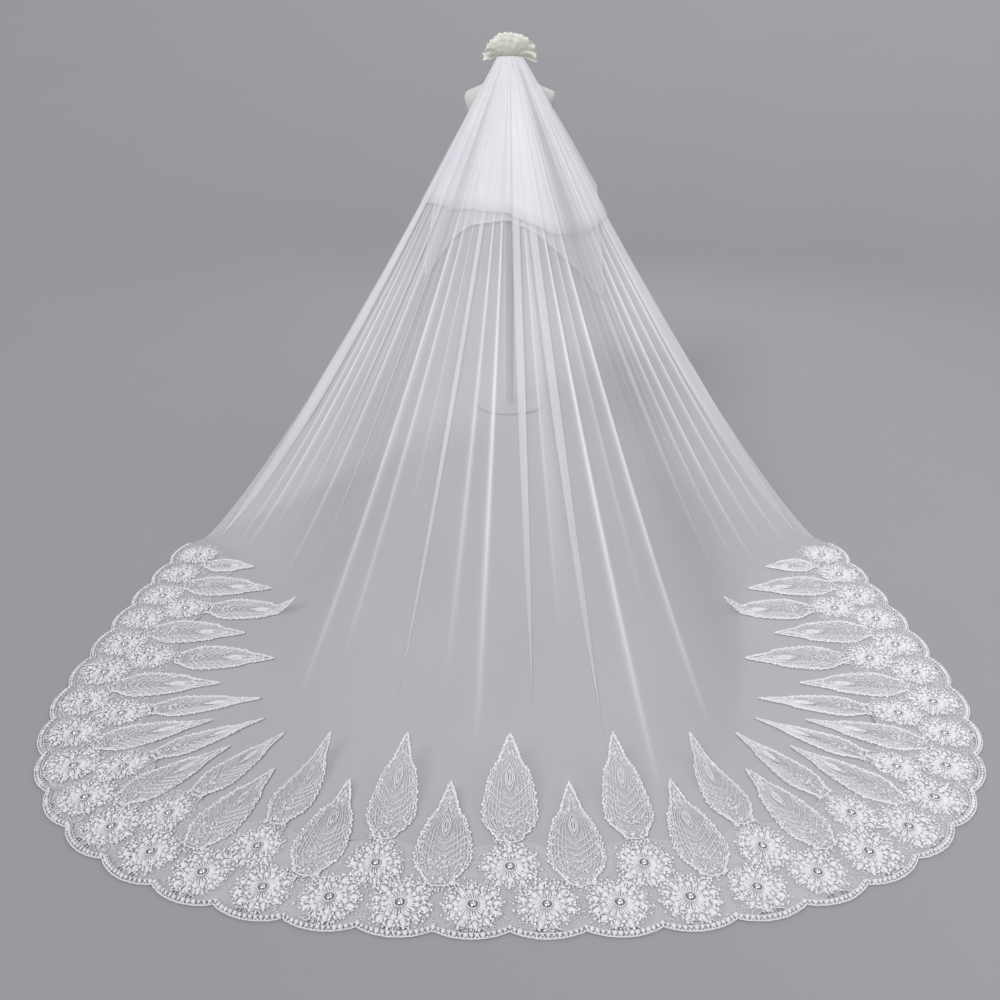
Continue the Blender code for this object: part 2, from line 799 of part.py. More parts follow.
def relief_sheet(outline, holes, rings):
    """A flat sheet with holes, whose triangles follow the raised rings."""
    points, edges, heights = [], [], []
    for loop, height in [(outline, 0.0), *((hole, 0.0) for hole in holes), *rings]:
        start = len(points)
        points += [Vector(point) for point in loop]
        heights += [height] * len(loop)
        if len(loop) > 1:
            edges += [
                (start + step, start + (step + 1) % len(loop)) for step in range(len(loop))
            ]
    spots, _, faces, sources, _, _ = delaunay_2d_cdt(points, edges, [], 0, 1e-7)
    bm = bmesh.new()
    relief = bm.verts.layers.float.new("relief")
    made = []
    for spot, source in zip(spots, sources):
        vert = bm.verts.new((spot.x, spot.y, 0.0))
        vert[relief] = max((heights[index] for index in source), default=0.0)
        made.append(vert)
    for face in faces:
        centre = sum((spots[index] for index in face), Vector((0.0, 0.0))) / len(face)
        in_hole = any(inside(hole, *centre) for hole in holes)
        if inside(outline, *centre) and not in_hole:
            bm.faces.new([made[index] for index in face])
    loose = [vert for vert in bm.verts if not vert.link_faces]
    bmesh.ops.delete(bm, geom=loose, context="VERTS")
    bmesh.ops.recalc_face_normals(bm, faces=bm.faces[:])
    return bm


def add_lace_band(hem, train, parts):
    for name, first, end in BAND_STRETCHES:
        outline = band_outline(hem, train, first, end)
        scallops = range(2 * first, 2 * end)
        holes = [crescent(hem, scallop, side) for scallop in scallops for side in (-1, 1)]
        rings = []
        for place, depth in medallion_places(first, end):
            rings += medallion_rings(hem, place, depth)
        bm = relief_sheet(outline, holes, rings)
        cloth_wall(name, bm, LACE, "lace", parts)


# Lace leaves


class Ground:
    """The top of the train and the band, for the leaves that lie on them."""

    def __init__(self, collection):
        points, faces = [], []
        for item in collection.objects:
            if item.name.startswith(("long_tier", "lace_band")):
                start = len(points)
                points += [vert.co.copy() for vert in item.data.vertices]
                faces += [[start + i for i in face.vertices] for face in item.data.polygons]
        self.tree = BVHTree.FromPolygons(points, faces)

    def height(self, x, y):
        heights = []
        for dx, dy in ((0, 0), (1, 0), (-1, 0), (0, 1), (0, -1)):
            above = (x + dx * GROUND_PROBE, y + dy * GROUND_PROBE, NECK_TOP)
            hit = self.tree.ray_cast(above, (0.0, 0.0, -1.0))[0]
            if hit:
                heights.append(hit.z)
        return max(heights)


def add_leaf(name, hem, ground, place, ends, width_share, parts):
    """A raised lace leaf that points inwards from the hem and follows what it lies on."""
    across_shares = (-1, 0, 1)

    def spot(column, row):
        share, width = LEAF_OUTLINE[row]
        along = place * hem.pitch
        along += across_shares[column] * width * width_share * LEAF_HALF_WIDTH
        x, y = hem.point(along, ends[0] + (ends[1] - ends[0]) * share)
        z = ground.height(x, y)
        clearance = LEAF_CLEARANCE * min((z - TULLE) / LEAF_CLEARANCE_RUN, 1.0)
        return (x, y, z + SEAM + clearance)

    bm = grid_sheet(len(across_shares), len(LEAF_OUTLINE), spot)
    relief = bm.verts.layers.float.new("relief")
    bm.verts.ensure_lookup_table()
    for row in range(1, len(LEAF_OUTLINE) - 1):
        bm.verts[row * len(across_shares) + 1][relief] = LEAF_RIDGE
    cloth_wall(name, bm, LEAF_THICKNESS, "lace", parts)


def add_leaves(hem, parts):
    ground = Ground(parts)
    for repeat in range(REPEATS):
        place = 2 * repeat + 1
        if repeat in (0, REPEATS - 1):
            side = "left" if repeat == 0 else "right"
            add_leaf(f"leaf_end_{side}", hem, ground, place, END_LEAF, END_LEAF_WIDTH, parts)
        else:
            add_leaf(f"leaf_tall_{repeat:02d}", hem, ground, place, TALL_LEAF, 1.0, parts)
        if repeat:
            name = f"leaf_short_{repeat:02d}"
            add_leaf(name, hem, ground, 2 * repeat, SHORT_LEAF, 1.0, parts)


def build():
    clear_scene()
    parts = new_collection("bridal_veil")
    cutters = new_collection("cutters")
    add_form(parts, cutters)
    add_comb(parts)
    add_headpiece(parts)
    hem = Hem()
    train = Train(hem)
    add_long_tier(train, parts)
    add_short_tier(train, parts)
    add_lace_band(hem, train, parts)
    add_leaves(hem, parts)


build()
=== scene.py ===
import math

import bmesh
import bpy
import numpy as np
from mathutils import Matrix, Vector


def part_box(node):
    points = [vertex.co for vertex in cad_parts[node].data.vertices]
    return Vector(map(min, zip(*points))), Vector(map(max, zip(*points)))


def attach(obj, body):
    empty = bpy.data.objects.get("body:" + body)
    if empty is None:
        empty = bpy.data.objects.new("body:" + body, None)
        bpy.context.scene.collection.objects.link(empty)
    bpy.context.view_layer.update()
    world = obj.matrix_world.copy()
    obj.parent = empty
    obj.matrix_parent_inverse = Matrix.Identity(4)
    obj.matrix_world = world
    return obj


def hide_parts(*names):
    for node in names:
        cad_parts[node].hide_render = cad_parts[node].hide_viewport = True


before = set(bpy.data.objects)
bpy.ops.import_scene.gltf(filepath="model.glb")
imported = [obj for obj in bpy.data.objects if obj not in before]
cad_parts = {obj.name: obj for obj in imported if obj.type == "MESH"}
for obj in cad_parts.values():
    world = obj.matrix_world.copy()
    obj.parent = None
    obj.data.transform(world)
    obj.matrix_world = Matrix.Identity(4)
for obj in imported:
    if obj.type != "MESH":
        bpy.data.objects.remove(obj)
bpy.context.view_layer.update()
print("frame loaded:", len(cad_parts), "nodes")

# Angles on the veil are degrees about the form's axis, from -Y, positive towards +X.
# Distances run out from that axis. Along and inward are metres on the lace, from the hem.


# Mesh helpers

def newMesh(name, points, faces, material=None, smooth=True):
    mesh = bpy.data.meshes.new(name)
    mesh.from_pydata([tuple(p) for p in points], [], faces)
    if smooth:
        mesh.shade_smooth()
    if material:
        mesh.materials.append(material)
    return mesh


def newPiece(name, mesh):
    piece = bpy.data.objects.new(name, mesh)
    bpy.context.scene.collection.objects.link(piece)
    return piece


def gridMesh(name, points, material, uv=None, wrap=False):
    # points has the shape rows, columns, 3
    rows, columns = points.shape[:2]
    index = np.arange(rows * columns).reshape(rows, columns)
    if wrap:
        index = np.concatenate([index, index[:, :1]], axis=1)
    corners = (index[:-1, :-1], index[:-1, 1:], index[1:, 1:], index[1:, :-1])
    faces = np.stack(corners, axis=-1).reshape(-1, 4)
    mesh = newMesh(name, points.reshape(-1, 3), faces.tolist(), material)
    if uv is not None:
        setUv(mesh, uv.reshape(-1, 2))
    return mesh


def setUv(mesh, pointUv):
    layer = mesh.uv_layers.new(name="cut")
    corner = np.zeros(len(mesh.loops), np.int32)
    mesh.loops.foreach_get("vertex_index", corner)
    layer.data.foreach_set("uv", pointUv[corner].astype(np.float32).ravel())


def setValue(mesh, name, values):
    attribute = mesh.attributes.new(name, "FLOAT", "POINT")
    attribute.data.foreach_set("value", np.asarray(values, np.float32).ravel())


def flipIfDown(mesh):
    normals = np.zeros(len(mesh.polygons) * 3, np.float32)
    mesh.polygons.foreach_get("normal", normals)
    if normals[2::3].sum() < 0:
        mesh.flip_normals()


def meshArrays(mesh):
    # points, the points of each corner, the corner count of each face, the material of each face
    points = np.zeros(len(mesh.vertices) * 3, np.float32)
    corners = np.zeros(len(mesh.loops), np.int32)
    counts = np.zeros(len(mesh.polygons), np.int32)
    looks = np.zeros(len(mesh.polygons), np.int32)
    mesh.vertices.foreach_get("co", points)
    mesh.loops.foreach_get("vertex_index", corners)
    mesh.polygons.foreach_get("loop_total", counts)
    mesh.polygons.foreach_get("material_index", looks)
    return points.reshape(-1, 3).astype(float), corners, counts, looks


def arraysAs(mesh, look):
    points, corners, counts, _ = meshArrays(mesh)
    return points, corners, counts, np.full(len(counts), look)


def meshFromArrays(name, parts, materials, smooth=True):
    # parts are tuples as from meshArrays
    starts = np.cumsum([0] + [len(part[0]) for part in parts])
    points = np.concatenate([part[0] for part in parts])
    corners = np.concatenate([part[1] + start for part, start in zip(parts, starts)])
    counts = np.concatenate([part[2] for part in parts])
    looks = np.concatenate([part[3] for part in parts])
    mesh = bpy.data.meshes.new(name)
    mesh.vertices.add(len(points))
    mesh.vertices.foreach_set("co", points.astype(np.float32).ravel())
    mesh.loops.add(len(corners))
    mesh.loops.foreach_set("vertex_index", corners.astype(np.int32))
    mesh.polygons.add(len(counts))
    begins = np.concatenate([[0], np.cumsum(counts)[:-1]]).astype(np.int32)
    mesh.polygons.foreach_set("loop_start", begins)
    mesh.polygons.foreach_set("material_index", looks.astype(np.int32))
    mesh.update(calc_edges=True)
    for material in materials:
        mesh.materials.append(material)
    if smooth:
        mesh.shade_smooth()
    return mesh


def lineMesh(name, lines):
    # open or closed lines of points as loose edges, for the thread and bead trees
    points, edges = [], []
    for line, closed in lines:
        start = len(points)
        points += [tuple(p) for p in line]
        edges += [(start + i, start + i + 1) for i in range(len(line) - 1)]
        if closed:
            edges.append((start + len(line) - 1, start))
    mesh = bpy.data.meshes.new(name)
    mesh.from_pydata(points, edges, [])
    return mesh


# Node helpers

def addNode(tree, kind, inputs=None, **settings):
    # inputs hold a value or another node's output, by the socket's name or number
    node = tree.nodes.new(kind)
    for key, value in settings.items():
        setattr(node, key, value)
    for key, value in (inputs or {}).items():
        if isinstance(value, bpy.types.NodeSocket):
            tree.links.new(value, node.inputs[key])
        else:
            node.inputs[key].default_value = value
    return node


def addMath(tree, operation, a, b=0.0, clamp=False):
    node = addNode(tree, "ShaderNodeMath", {0: a, 1: b}, operation=operation, use_clamp=clamp)
    return node.outputs[0]


def newGroup(name, kind, takes, gives):
    group = bpy.data.node_groups.new(name, kind)
    for label, socket, value in takes:
        made = group.interface.new_socket(label, in_out="INPUT", socket_type=socket)
        if value is not None:
            made.default_value = value
    for label, socket in gives:
        group.interface.new_socket(label, in_out="OUTPUT", socket_type=socket)
    return group, addNode(group, "NodeGroupInput"), addNode(group, "NodeGroupOutput")


def newMaterial(name, colour, roughness, metallic=0.0, **fixed):
    material = bpy.data.materials.new(name)
    material.use_nodes = True
    material.diffuse_color = (*colour, 1.0)
    shader = material.node_tree.nodes["Principled BSDF"]
    shader.inputs["Base Color"].default_value = (*colour, 1.0)
    shader.inputs["Roughness"].default_value = roughness
    shader.inputs["Metallic"].default_value = metallic
    for label, value in fixed.items():
        shader.inputs[label.replace("_", " ")].default_value = value
    return material, material.node_tree, shader


def addBump(tree, shader, height, strength, distance):
    bump = addNode(
        tree, "ShaderNodeBump", {"Height": height, "Strength": strength, "Distance": distance}
    )
    tree.links.new(bump.outputs["Normal"], shader.inputs["Normal"])


# Shader groups

def buildThreadGrainAndShade():
    # fine raised threads, and painted shade that darkens the colour in the hollows between them
    group, takes, gives = newGroup(
        "threadGrainAndShade",
        "ShaderNodeTree",
        [
            ("Vector", "NodeSocketVector", None),
            ("Threads per metre", "NodeSocketFloat", 900.0),
            ("Shade depth", "NodeSocketFloat", 0.2),
        ],
        [("Height", "NodeSocketFloat"), ("Shade", "NodeSocketFloat")],
    )
    fine = addNode(
        group,
        "ShaderNodeTexNoise",
        {
            "Vector": takes.outputs["Vector"],
            "Scale": takes.outputs["Threads per metre"],
            "Detail": 2.0,
            "Roughness": 0.6,
        },
    )
    coarseScale = addMath(group, "MULTIPLY", takes.outputs["Threads per metre"], 0.12)
    coarse = addNode(
        group,
        "ShaderNodeTexNoise",
        {"Vector": takes.outputs["Vector"], "Scale": coarseScale, "Detail": 3.0},
    )
    both = addMath(group, "ADD", fine.outputs["Fac"], coarse.outputs["Fac"])
    height = addMath(group, "MULTIPLY", both, 0.5)
    # darker where the threads are low: painted shade in the hollows between them
    dark = addMath(group, "SUBTRACT", 1.0, height)
    shade = addMath(group, "MULTIPLY", dark, takes.outputs["Shade depth"])
    group.links.new(height, gives.inputs["Height"])
    group.links.new(addMath(group, "SUBTRACT", 1.0, shade), gives.inputs["Shade"])
    return group


def buildNetCells():
    # a net of six-sided holes from three crossed waves: 1 on a thread and 0 in a hole
    group, takes, gives = newGroup(
        "netCells",
        "ShaderNodeTree",
        [
            ("Vector", "NodeSocketVector", None),
            ("Cells per metre", "NodeSocketFloat", 600.0),
            ("Thread share", "NodeSocketFloat", 0.5),
        ],
        [("Thread", "NodeSocketFloat")],
    )
    turns = addMath(group, "MULTIPLY", takes.outputs["Cells per metre"], 2 * math.pi)
    total = None
    for step in range(3):
        angle = step * math.pi / 3
        direction = (math.cos(angle), math.sin(angle), 0.0)
        along = addNode(
            group, "ShaderNodeVectorMath", {0: takes.outputs["Vector"], 1: direction},
            operation="DOT_PRODUCT",
        )
        phase = addMath(group, "MULTIPLY", along.outputs["Value"], turns)
        wave = addMath(group, "COSINE", phase)
        total = wave if total is None else addMath(group, "ADD", total, wave)
    thread = addNode(
        group,
        "ShaderNodeMapRange",
        {"Value": total, 1: -1.0, 2: takes.outputs["Thread share"], 3: 1.0, 4: 0.0},
    )
    group.links.new(thread.outputs["Result"], gives.inputs["Thread"])
    return group


def buildTinted():
    # a colour made lighter or darker by a value that changes over the surface
    group, takes, gives = newGroup(
        "tinted",
        "ShaderNodeTree",
        [
            ("Colour", "NodeSocketColor", (0.8, 0.8, 0.8, 1.0)),
            ("Shade", "NodeSocketFloat", 1.0),
        ],
        [("Colour", "NodeSocketColor")],
    )
    scaled = addNode(
        group,
        "ShaderNodeVectorMath",
        {0: takes.outputs["Colour"], "Scale": takes.outputs["Shade"]},
        operation="SCALE",
    )
    group.links.new(scaled.outputs["Vector"], gives.inputs["Colour"])
    return group


def buildStitchLines():
    # curling stitches from the level lines of two noises: 1 on a stitch and 0 beside it
    group, takes, gives = newGroup(
        "stitchLines",
        "ShaderNodeTree",
        [
            ("Vector", "NodeSocketVector", None),
            ("Curls per metre", "NodeSocketFloat", 120.0),
            ("Stitch width", "NodeSocketFloat", 0.035),
        ],
        [("Stitch", "NodeSocketFloat")],
    )
    stitches = []
    for times, bend in ((1.0, 1.6), (1.7, 0.9)):
        noise = addNode(
            group,
            "ShaderNodeTexNoise",
            {
                "Vector": takes.outputs["Vector"],
                "Scale": addMath(group, "MULTIPLY", takes.outputs["Curls per metre"], times),
                "Detail": 1.0,
                "Distortion": bend,
            },
        )
        away = addMath(group, "ABSOLUTE", addMath(group, "SUBTRACT", noise.outputs["Fac"], 0.5))
        line = addNode(
            group,
            "ShaderNodeMapRange",
            {"Value": away, 1: 0.0, 2: takes.outputs["Stitch width"], 3: 1.6, 4: 0.0},
        )
        stitches.append(line.outputs["Result"])
    both = addMath(group, "MAXIMUM", stitches[0], stitches[1], clamp=True)
    group.links.new(both, gives.inputs["Stitch"])
    return group


threadGrainAndShade = buildThreadGrainAndShade()
netCells = buildNetCells()
stitchLines = buildStitchLines()
tinted = buildTinted()


def useGroup(tree, group, inputs):
    node = addNode(tree, "ShaderNodeGroup", node_tree=group)
    for key, value in inputs.items():
        if isinstance(value, bpy.types.NodeSocket):
            tree.links.new(value, node.inputs[key])
        else:
            node.inputs[key].default_value = value
    return node


# Materials

def makeNet(name, look):
    # sheer net: each layer of it covers the same share of what lies behind
    material, tree, shader = newMaterial(
        name, look["colour"], look["roughness"], Sheen_Weight=0.25, Sheen_Roughness=0.4
    )
    cut = addNode(tree, "ShaderNodeUVMap", uv_map="cut").outputs["UV"]
    layers = addNode(tree, "ShaderNodeAttribute", attribute_name="layers").outputs["Fac"]
    net = useGroup(
        tree,
        netCells,
        {"Vector": cut, "Cells per metre": look["cells"], "Thread share": look["thread"]},
    )
    clear = addMath(tree, "POWER", 1.0 - look["cover"], layers)
    cover = addMath(tree, "SUBTRACT", 1.0, clear)
    share = addNode(
        tree,
        "ShaderNodeMapRange",
        {"Value": net.outputs["Thread"], 3: look["inHoles"], 4: look["onThreads"]},
    )
    alpha = addMath(tree, "MULTIPLY", cover, share.outputs["Result"], clamp=True)
    if "curls" in look:  # embroidery between the motifs, as dense as the attribute says
        fill = addNode(tree, "ShaderNodeAttribute", attribute_name="fill").outputs["Fac"]
        stitch = useGroup(
            tree,
            stitchLines,
            {"Vector": cut, "Curls per metre": look["curls"], "Stitch width": look["stitch"]},
        ).outputs["Stitch"]
        shown = addMath(tree, "MULTIPLY", stitch, fill)
        alpha = addMath(tree, "MAXIMUM", alpha, shown, clamp=True)
        addBump(tree, shader, shown, 0.7, 0.0012)
    tree.links.new(alpha, shader.inputs["Alpha"])
    drift = addNode(tree, "ShaderNodeTexNoise", {"Vector": cut, "Scale": 3.0, "Detail": 0.0})
    shade = addNode(tree, "ShaderNodeMapRange", {"Value": drift.outputs["Fac"], 3: 0.93, 4: 1.05})
    paint = useGroup(
        tree, tinted, {"Colour": (*look["colour"], 1.0), "Shade": shade.outputs["Result"]}
    )
    tree.links.new(paint.outputs["Colour"], shader.inputs["Base Color"])
    return material


def makeGrainAndShade(name, look, **fixed):
    # an opaque finish with fine threads or grain on Object coordinates, its colour darkened between them by painted
    # shade
    material, tree, shader = newMaterial(
        name, look["colour"], look["roughness"], look.get("metallic", 0.0), **fixed
    )
    place = addNode(tree, "ShaderNodeTexCoord").outputs["Object"]
    grainAndShade = useGroup(
        tree,
        threadGrainAndShade,
        {"Vector": place, "Threads per metre": look["threads"], "Shade depth": look["shade"]},
    )
    # base colour darkened by the painted shade between the threads or grain
    paint = useGroup(
        tree, tinted, {"Colour": (*look["colour"], 1.0), "Shade": grainAndShade.outputs["Shade"]}
    )
    tree.links.new(paint.outputs["Colour"], shader.inputs["Base Color"])
    rough = addNode(
        tree,
        "ShaderNodeMapRange",
        {"Value": grainAndShade.outputs["Height"], 3: look["roughness"] - 0.1, 4: look["roughness"] + 0.1},
    )
    tree.links.new(rough.outputs["Result"], shader.inputs["Roughness"])
    addBump(tree, shader, grainAndShade.outputs["Height"], look["bump"], look["depth"])
    return material


# shade is how far the colour is darkened between the threads or grain: a painted shade
finishes = {
    "tulle": {
        "colour": (0.87, 0.87, 0.91), "roughness": 0.6, "cover": 0.26,
        "cells": 560.0, "thread": 0.9, "inHoles": 0.72, "onThreads": 1.45,
    },
    "laceNet": {
        "colour": (0.84, 0.84, 0.87), "roughness": 0.6, "cover": 0.26,
        "cells": 380.0, "thread": 1.0, "inHoles": 0.68, "onThreads": 1.5, "curls": 105.0,
        "stitch": 0.040,
    },
    "whiteThread": {
        "colour": (0.84, 0.84, 0.86), "roughness": 0.55, "threads": 1500.0,
        "shade": 0.22, "bump": 0.5, "depth": 0.0006,
    },
    "seedBead": {
        "colour": (0.90, 0.91, 0.93), "roughness": 0.20, "threads": 300.0,
        "shade": 0.10, "bump": 0.15, "depth": 0.0003,
    },
    "silverSetting": {
        "colour": (0.45, 0.45, 0.46), "roughness": 0.30, "metallic": 0.9, "threads": 900.0,
        "shade": 0.25, "bump": 0.2, "depth": 0.0002,
    },
    "crystal": {
        "colour": (0.95, 0.96, 0.97), "roughness": 0.12, "metallic": 0.85, "threads": 120.0,
        "shade": 0.35, "bump": 0.05, "depth": 0.0002,
    },
    "ivoryFabric": {
        "colour": (0.87, 0.86, 0.76), "roughness": 0.75, "threads": 1100.0,
        "shade": 0.16, "bump": 0.35, "depth": 0.0004,
    },
    "formCover": {
        "colour": (0.68, 0.68, 0.66), "roughness": 0.80, "threads": 800.0,
        "shade": 0.14, "bump": 0.4, "depth": 0.0005,
    },
    "paintedMetal": {
        "colour": (0.34, 0.34, 0.35), "roughness": 0.50, "threads": 160.0,
        "shade": 0.06, "bump": 0.08, "depth": 0.0003,
    },
    "combPlastic": {
        "colour": (0.82, 0.83, 0.84), "roughness": 0.25, "threads": 90.0,
        "shade": 0.08, "bump": 0.05, "depth": 0.0003,
    },
}

tulle = makeNet("tulle", finishes["tulle"])
laceNet = makeNet("laceNet", finishes["laceNet"])
whiteThread = makeGrainAndShade("whiteThread", finishes["whiteThread"], Sheen_Weight=0.3)
seedBead = makeGrainAndShade("seedBead", finishes["seedBead"], Coat_Weight=0.6)
silverSetting = makeGrainAndShade("silverSetting", finishes["silverSetting"])
crystal = makeGrainAndShade("crystal", finishes["crystal"], Coat_Weight=1.0)
ivoryFabric = makeGrainAndShade("ivoryFabric", finishes["ivoryFabric"], Sheen_Weight=0.3)
formCover = makeGrainAndShade("formCover", finishes["formCover"], Sheen_Weight=0.15)
paintedMetal = makeGrainAndShade("paintedMetal", finishes["paintedMetal"], Coat_Weight=0.3)
combPlastic = makeGrainAndShade("combPlastic", finishes["combPlastic"], Transmission_Weight=0.6)
print("materials made")


# Geometry trees

def buildThreadTree():
    # gives every line a round thread
    group, takes, gives = newGroup(
        "threadsOnLines",
        "GeometryNodeTree",
        [
            ("Geometry", "NodeSocketGeometry", None),
            ("Thread radius", "NodeSocketFloat", 0.0007),
            ("Sides", "NodeSocketInt", 3),
            ("Material", "NodeSocketMaterial", None),
        ],
        [("Geometry", "NodeSocketGeometry")],
    )
    line = addNode(group, "GeometryNodeMeshToCurve", {"Mesh": takes.outputs["Geometry"]})
    ring = addNode(
        group,
        "GeometryNodeCurvePrimitiveCircle",
        {"Resolution": takes.outputs["Sides"], "Radius": takes.outputs["Thread radius"]},
    )
    thread = addNode(
        group,
        "GeometryNodeCurveToMesh",
        {"Curve": line.outputs["Curve"], "Profile Curve": ring.outputs["Curve"], "Fill Caps": True},
    )
    endTree(group, thread.outputs["Mesh"], takes, gives)
    return group


def buildBeadTree():
    # strings beads along every line, each a little larger or smaller
    group, takes, gives = newGroup(
        "beadsOnLines",
        "GeometryNodeTree",
        [
            ("Geometry", "NodeSocketGeometry", None),
            ("Bead radius", "NodeSocketFloat", 0.0012),
            ("Spacing", "NodeSocketFloat", 0.005),
            ("Unevenness", "NodeSocketFloat", 0.3),
            ("Seed", "NodeSocketInt", 1),
            ("Material", "NodeSocketMaterial", None),
        ],
        [("Geometry", "NodeSocketGeometry")],
    )
    line = addNode(group, "GeometryNodeMeshToCurve", {"Mesh": takes.outputs["Geometry"]})
    spots = addNode(
        group,
        "GeometryNodeCurveToPoints",
        {"Curve": line.outputs["Curve"], "Length": takes.outputs["Spacing"]},
        mode="LENGTH",
    )
    least = addMath(group, "SUBTRACT", 1.0, takes.outputs["Unevenness"])
    most = addMath(group, "ADD", 1.0, takes.outputs["Unevenness"])
    size = addNode(
        group,
        "FunctionNodeRandomValue",
        {2: least, 3: most, "Seed": takes.outputs["Seed"]},
        data_type="FLOAT",
    )
    bead = addNode(
        group,
        "GeometryNodeMeshIcoSphere",
        {"Radius": takes.outputs["Bead radius"], "Subdivisions": 1},
    )
    strung = addNode(
        group,
        "GeometryNodeInstanceOnPoints",
        {
            "Points": spots.outputs["Points"],
            "Instance": bead.outputs["Mesh"],
            "Rotation": spots.outputs["Rotation"],
            "Scale": size.outputs[1],
        },
    )
    endTree(group, strung.outputs["Instances"], takes, gives)
    return group


def buildRingTree():
    # sets one petal round a ring, each a little longer and turned a little
    group, takes, gives = newGroup(
        "petalsOnRing",
        "GeometryNodeTree",
        [
            ("Geometry", "NodeSocketGeometry", None),
            ("Count", "NodeSocketInt", 12),
            ("Ring radius", "NodeSocketFloat", 0.03),
            ("Turn", "NodeSocketFloat", 0.0),
            ("Turn unevenness", "NodeSocketFloat", 0.05),
            ("Size unevenness", "NodeSocketFloat", 0.1),
            ("Seed", "NodeSocketInt", 1),
        ],
        [("Geometry", "NodeSocketGeometry")],
    )
    ring = addNode(
        group,
        "GeometryNodeMeshCircle",
        {"Vertices": takes.outputs["Count"], "Radius": takes.outputs["Ring radius"]},
    )
    step = addMath(group, "DIVIDE", 2 * math.pi, takes.outputs["Count"])
    number = addNode(group, "GeometryNodeInputIndex").outputs[0]
    turn = addMath(group, "MULTIPLY", number, step)
    low = addMath(group, "MULTIPLY", takes.outputs["Turn unevenness"], -1.0)
    stray = addNode(
        group,
        "FunctionNodeRandomValue",
        {2: low, 3: takes.outputs["Turn unevenness"], "Seed": takes.outputs["Seed"]},
        data_type="FLOAT",
    )
    heading = addNode(group, "ShaderNodeCombineXYZ", {"Z": addMath(group, "ADD", turn, stray.outputs[1])})
    least = addMath(group, "SUBTRACT", 1.0, takes.outputs["Size unevenness"])
    most = addMath(group, "ADD", 1.0, takes.outputs["Size unevenness"])
    seed = addMath(group, "ADD", takes.outputs["Seed"], 7.0)
    size = addNode(
        group, "FunctionNodeRandomValue", {2: least, 3: most, "Seed": seed}, data_type="FLOAT"
    )
    petals = addNode(
        group,
        "GeometryNodeInstanceOnPoints",
        {
            "Points": ring.outputs["Mesh"],
            "Instance": takes.outputs["Geometry"],
            "Rotation": heading.outputs["Vector"],
            "Scale": size.outputs[1],
        },
    )
    whole = addNode(group, "ShaderNodeCombineXYZ", {"Z": takes.outputs["Turn"]})
    turned = addNode(
        group,
        "GeometryNodeTransform",
        {"Geometry": petals.outputs["Instances"], "Rotation": whole.outputs["Vector"]},
    )
    real = addNode(
        group, "GeometryNodeRealizeInstances", {"Geometry": turned.outputs["Geometry"]}
    )
    group.links.new(real.outputs["Geometry"], gives.inputs["Geometry"])
    return group


def endTree(group, geometry, takes, gives):
    real = addNode(group, "GeometryNodeRealizeInstances", {"Geometry": geometry})
    finished = addNode(
        group,
        "GeometryNodeSetMaterial",
        {"Geometry": real.outputs["Geometry"], "Material": takes.outputs["Material"]},
    )
    group.links.new(finished.outputs["Geometry"], gives.inputs["Geometry"])


threadsOnLines = buildThreadTree()
beadsOnLines = buildBeadTree()
petalsOnRing = buildRingTree()


def runTree(tree, source, values):
    # the tree's result as a plain mesh
    holder = newPiece("treeHolder", source)
    modifier = holder.modifiers.new("tree", "NODES")
    modifier.node_group = tree
    for item in tree.interface.items_tree:
        if item.item_type == "SOCKET" and item.in_out == "INPUT" and item.name in values:
            modifier[item.identifier] = values[item.name]
    ready = holder.evaluated_get(bpy.context.evaluated_depsgraph_get())
    mesh = bpy.data.meshes.new_from_object(ready)
    bpy.data.objects.remove(holder)
    return mesh


def threadLines(lines, radius, sides=3, material=None):
    source = lineMesh("lines", lines)
    values = {"Thread radius": radius, "Sides": sides, "Material": material or whiteThread}
    return runTree(threadsOnLines, source, values)


def beadLines(lines, radius, spacing, seed, unevenness=0.3, material=None):
    source = lineMesh("lines", lines)
    values = {
        "Bead radius": radius, "Spacing": spacing, "Seed": seed,
        "Unevenness": unevenness, "Material": material or seedBead,
    }
    return runTree(beadsOnLines, source, values)


print("geometry trees built")


# Veil surface, as the frame has it

veil = {
    "combOuter": 0.0885,
    "gatherHeight": 1.4572,
    "sag": 1.2,
    "sideAngle": 34.65,
    "sideReach": 1.715,
    "frontReach": 2.77,
    "reachTurn": 15.5,
    "reachSharpness": 4.5,
    "cloth": 0.0009,
}


def reachAt(angle):
    fall = 1 + (np.abs(angle) / veil["reachTurn"]) ** veil["reachSharpness"]
    return veil["sideReach"] + (veil["frontReach"] - veil["sideReach"]) / fall


def shareAt(angle, distance):
    return (distance - veil["combOuter"]) / (reachAt(angle) - veil["combOuter"])


def drapeAt(angle, distance):
    left = np.clip(1 - shareAt(angle, distance), 0.0, None)
    return veil["gatherHeight"] * left ** veil["sag"]


# angle, half width (degrees), height (mm), share of the way where it fades out, extra layers
softFolds = (
    (-30.2, 0.55, 12, 0.95, 1.0),
    (-28.5, 0.80, 15, 0.95, 1.3),
    (-26.4, 0.70, 11, 0.90, 0.9),
    (-22.3, 0.45, 7, 0.80, 0.5),
    (-20.8, 0.80, 12, 0.93, 1.2),
    (-18.4, 0.50, 6, 0.70, 0.5),
    (-14.2, 0.45, 6, 0.75, 0.5),
    (-11.8, 0.90, 14, 0.92, 1.2),
    (-9.6, 0.60, 9, 0.85, 0.9),
    (-7.6, 0.40, 6, 0.70, 0.5),
    (-3.4, 0.60, 10, 0.84, 0.9),
    (-1.6, 0.60, 12, 0.90, 1.3),
    (2.9, 0.50, 8, 0.80, 0.8),
    (6.6, 0.55, 13, 0.95, 1.5),
    (8.4, 0.55, 7, 0.80, 0.5),
    (10.2, 0.60, 14, 0.93, 1.6),
    (13.1, 0.50, 6, 0.72, 0.4),
    (15.4, 0.50, 7, 0.78, 0.5),
    (20.1, 0.45, 7, 0.82, 0.6),
    (21.9, 0.80, 12, 0.92, 1.1),
    (24.6, 0.80, 15, 0.95, 1.3),
    (27.6, 0.80, 11, 0.93, 1.1),
    (30.4, 0.60, 12, 0.96, 1.0),
)
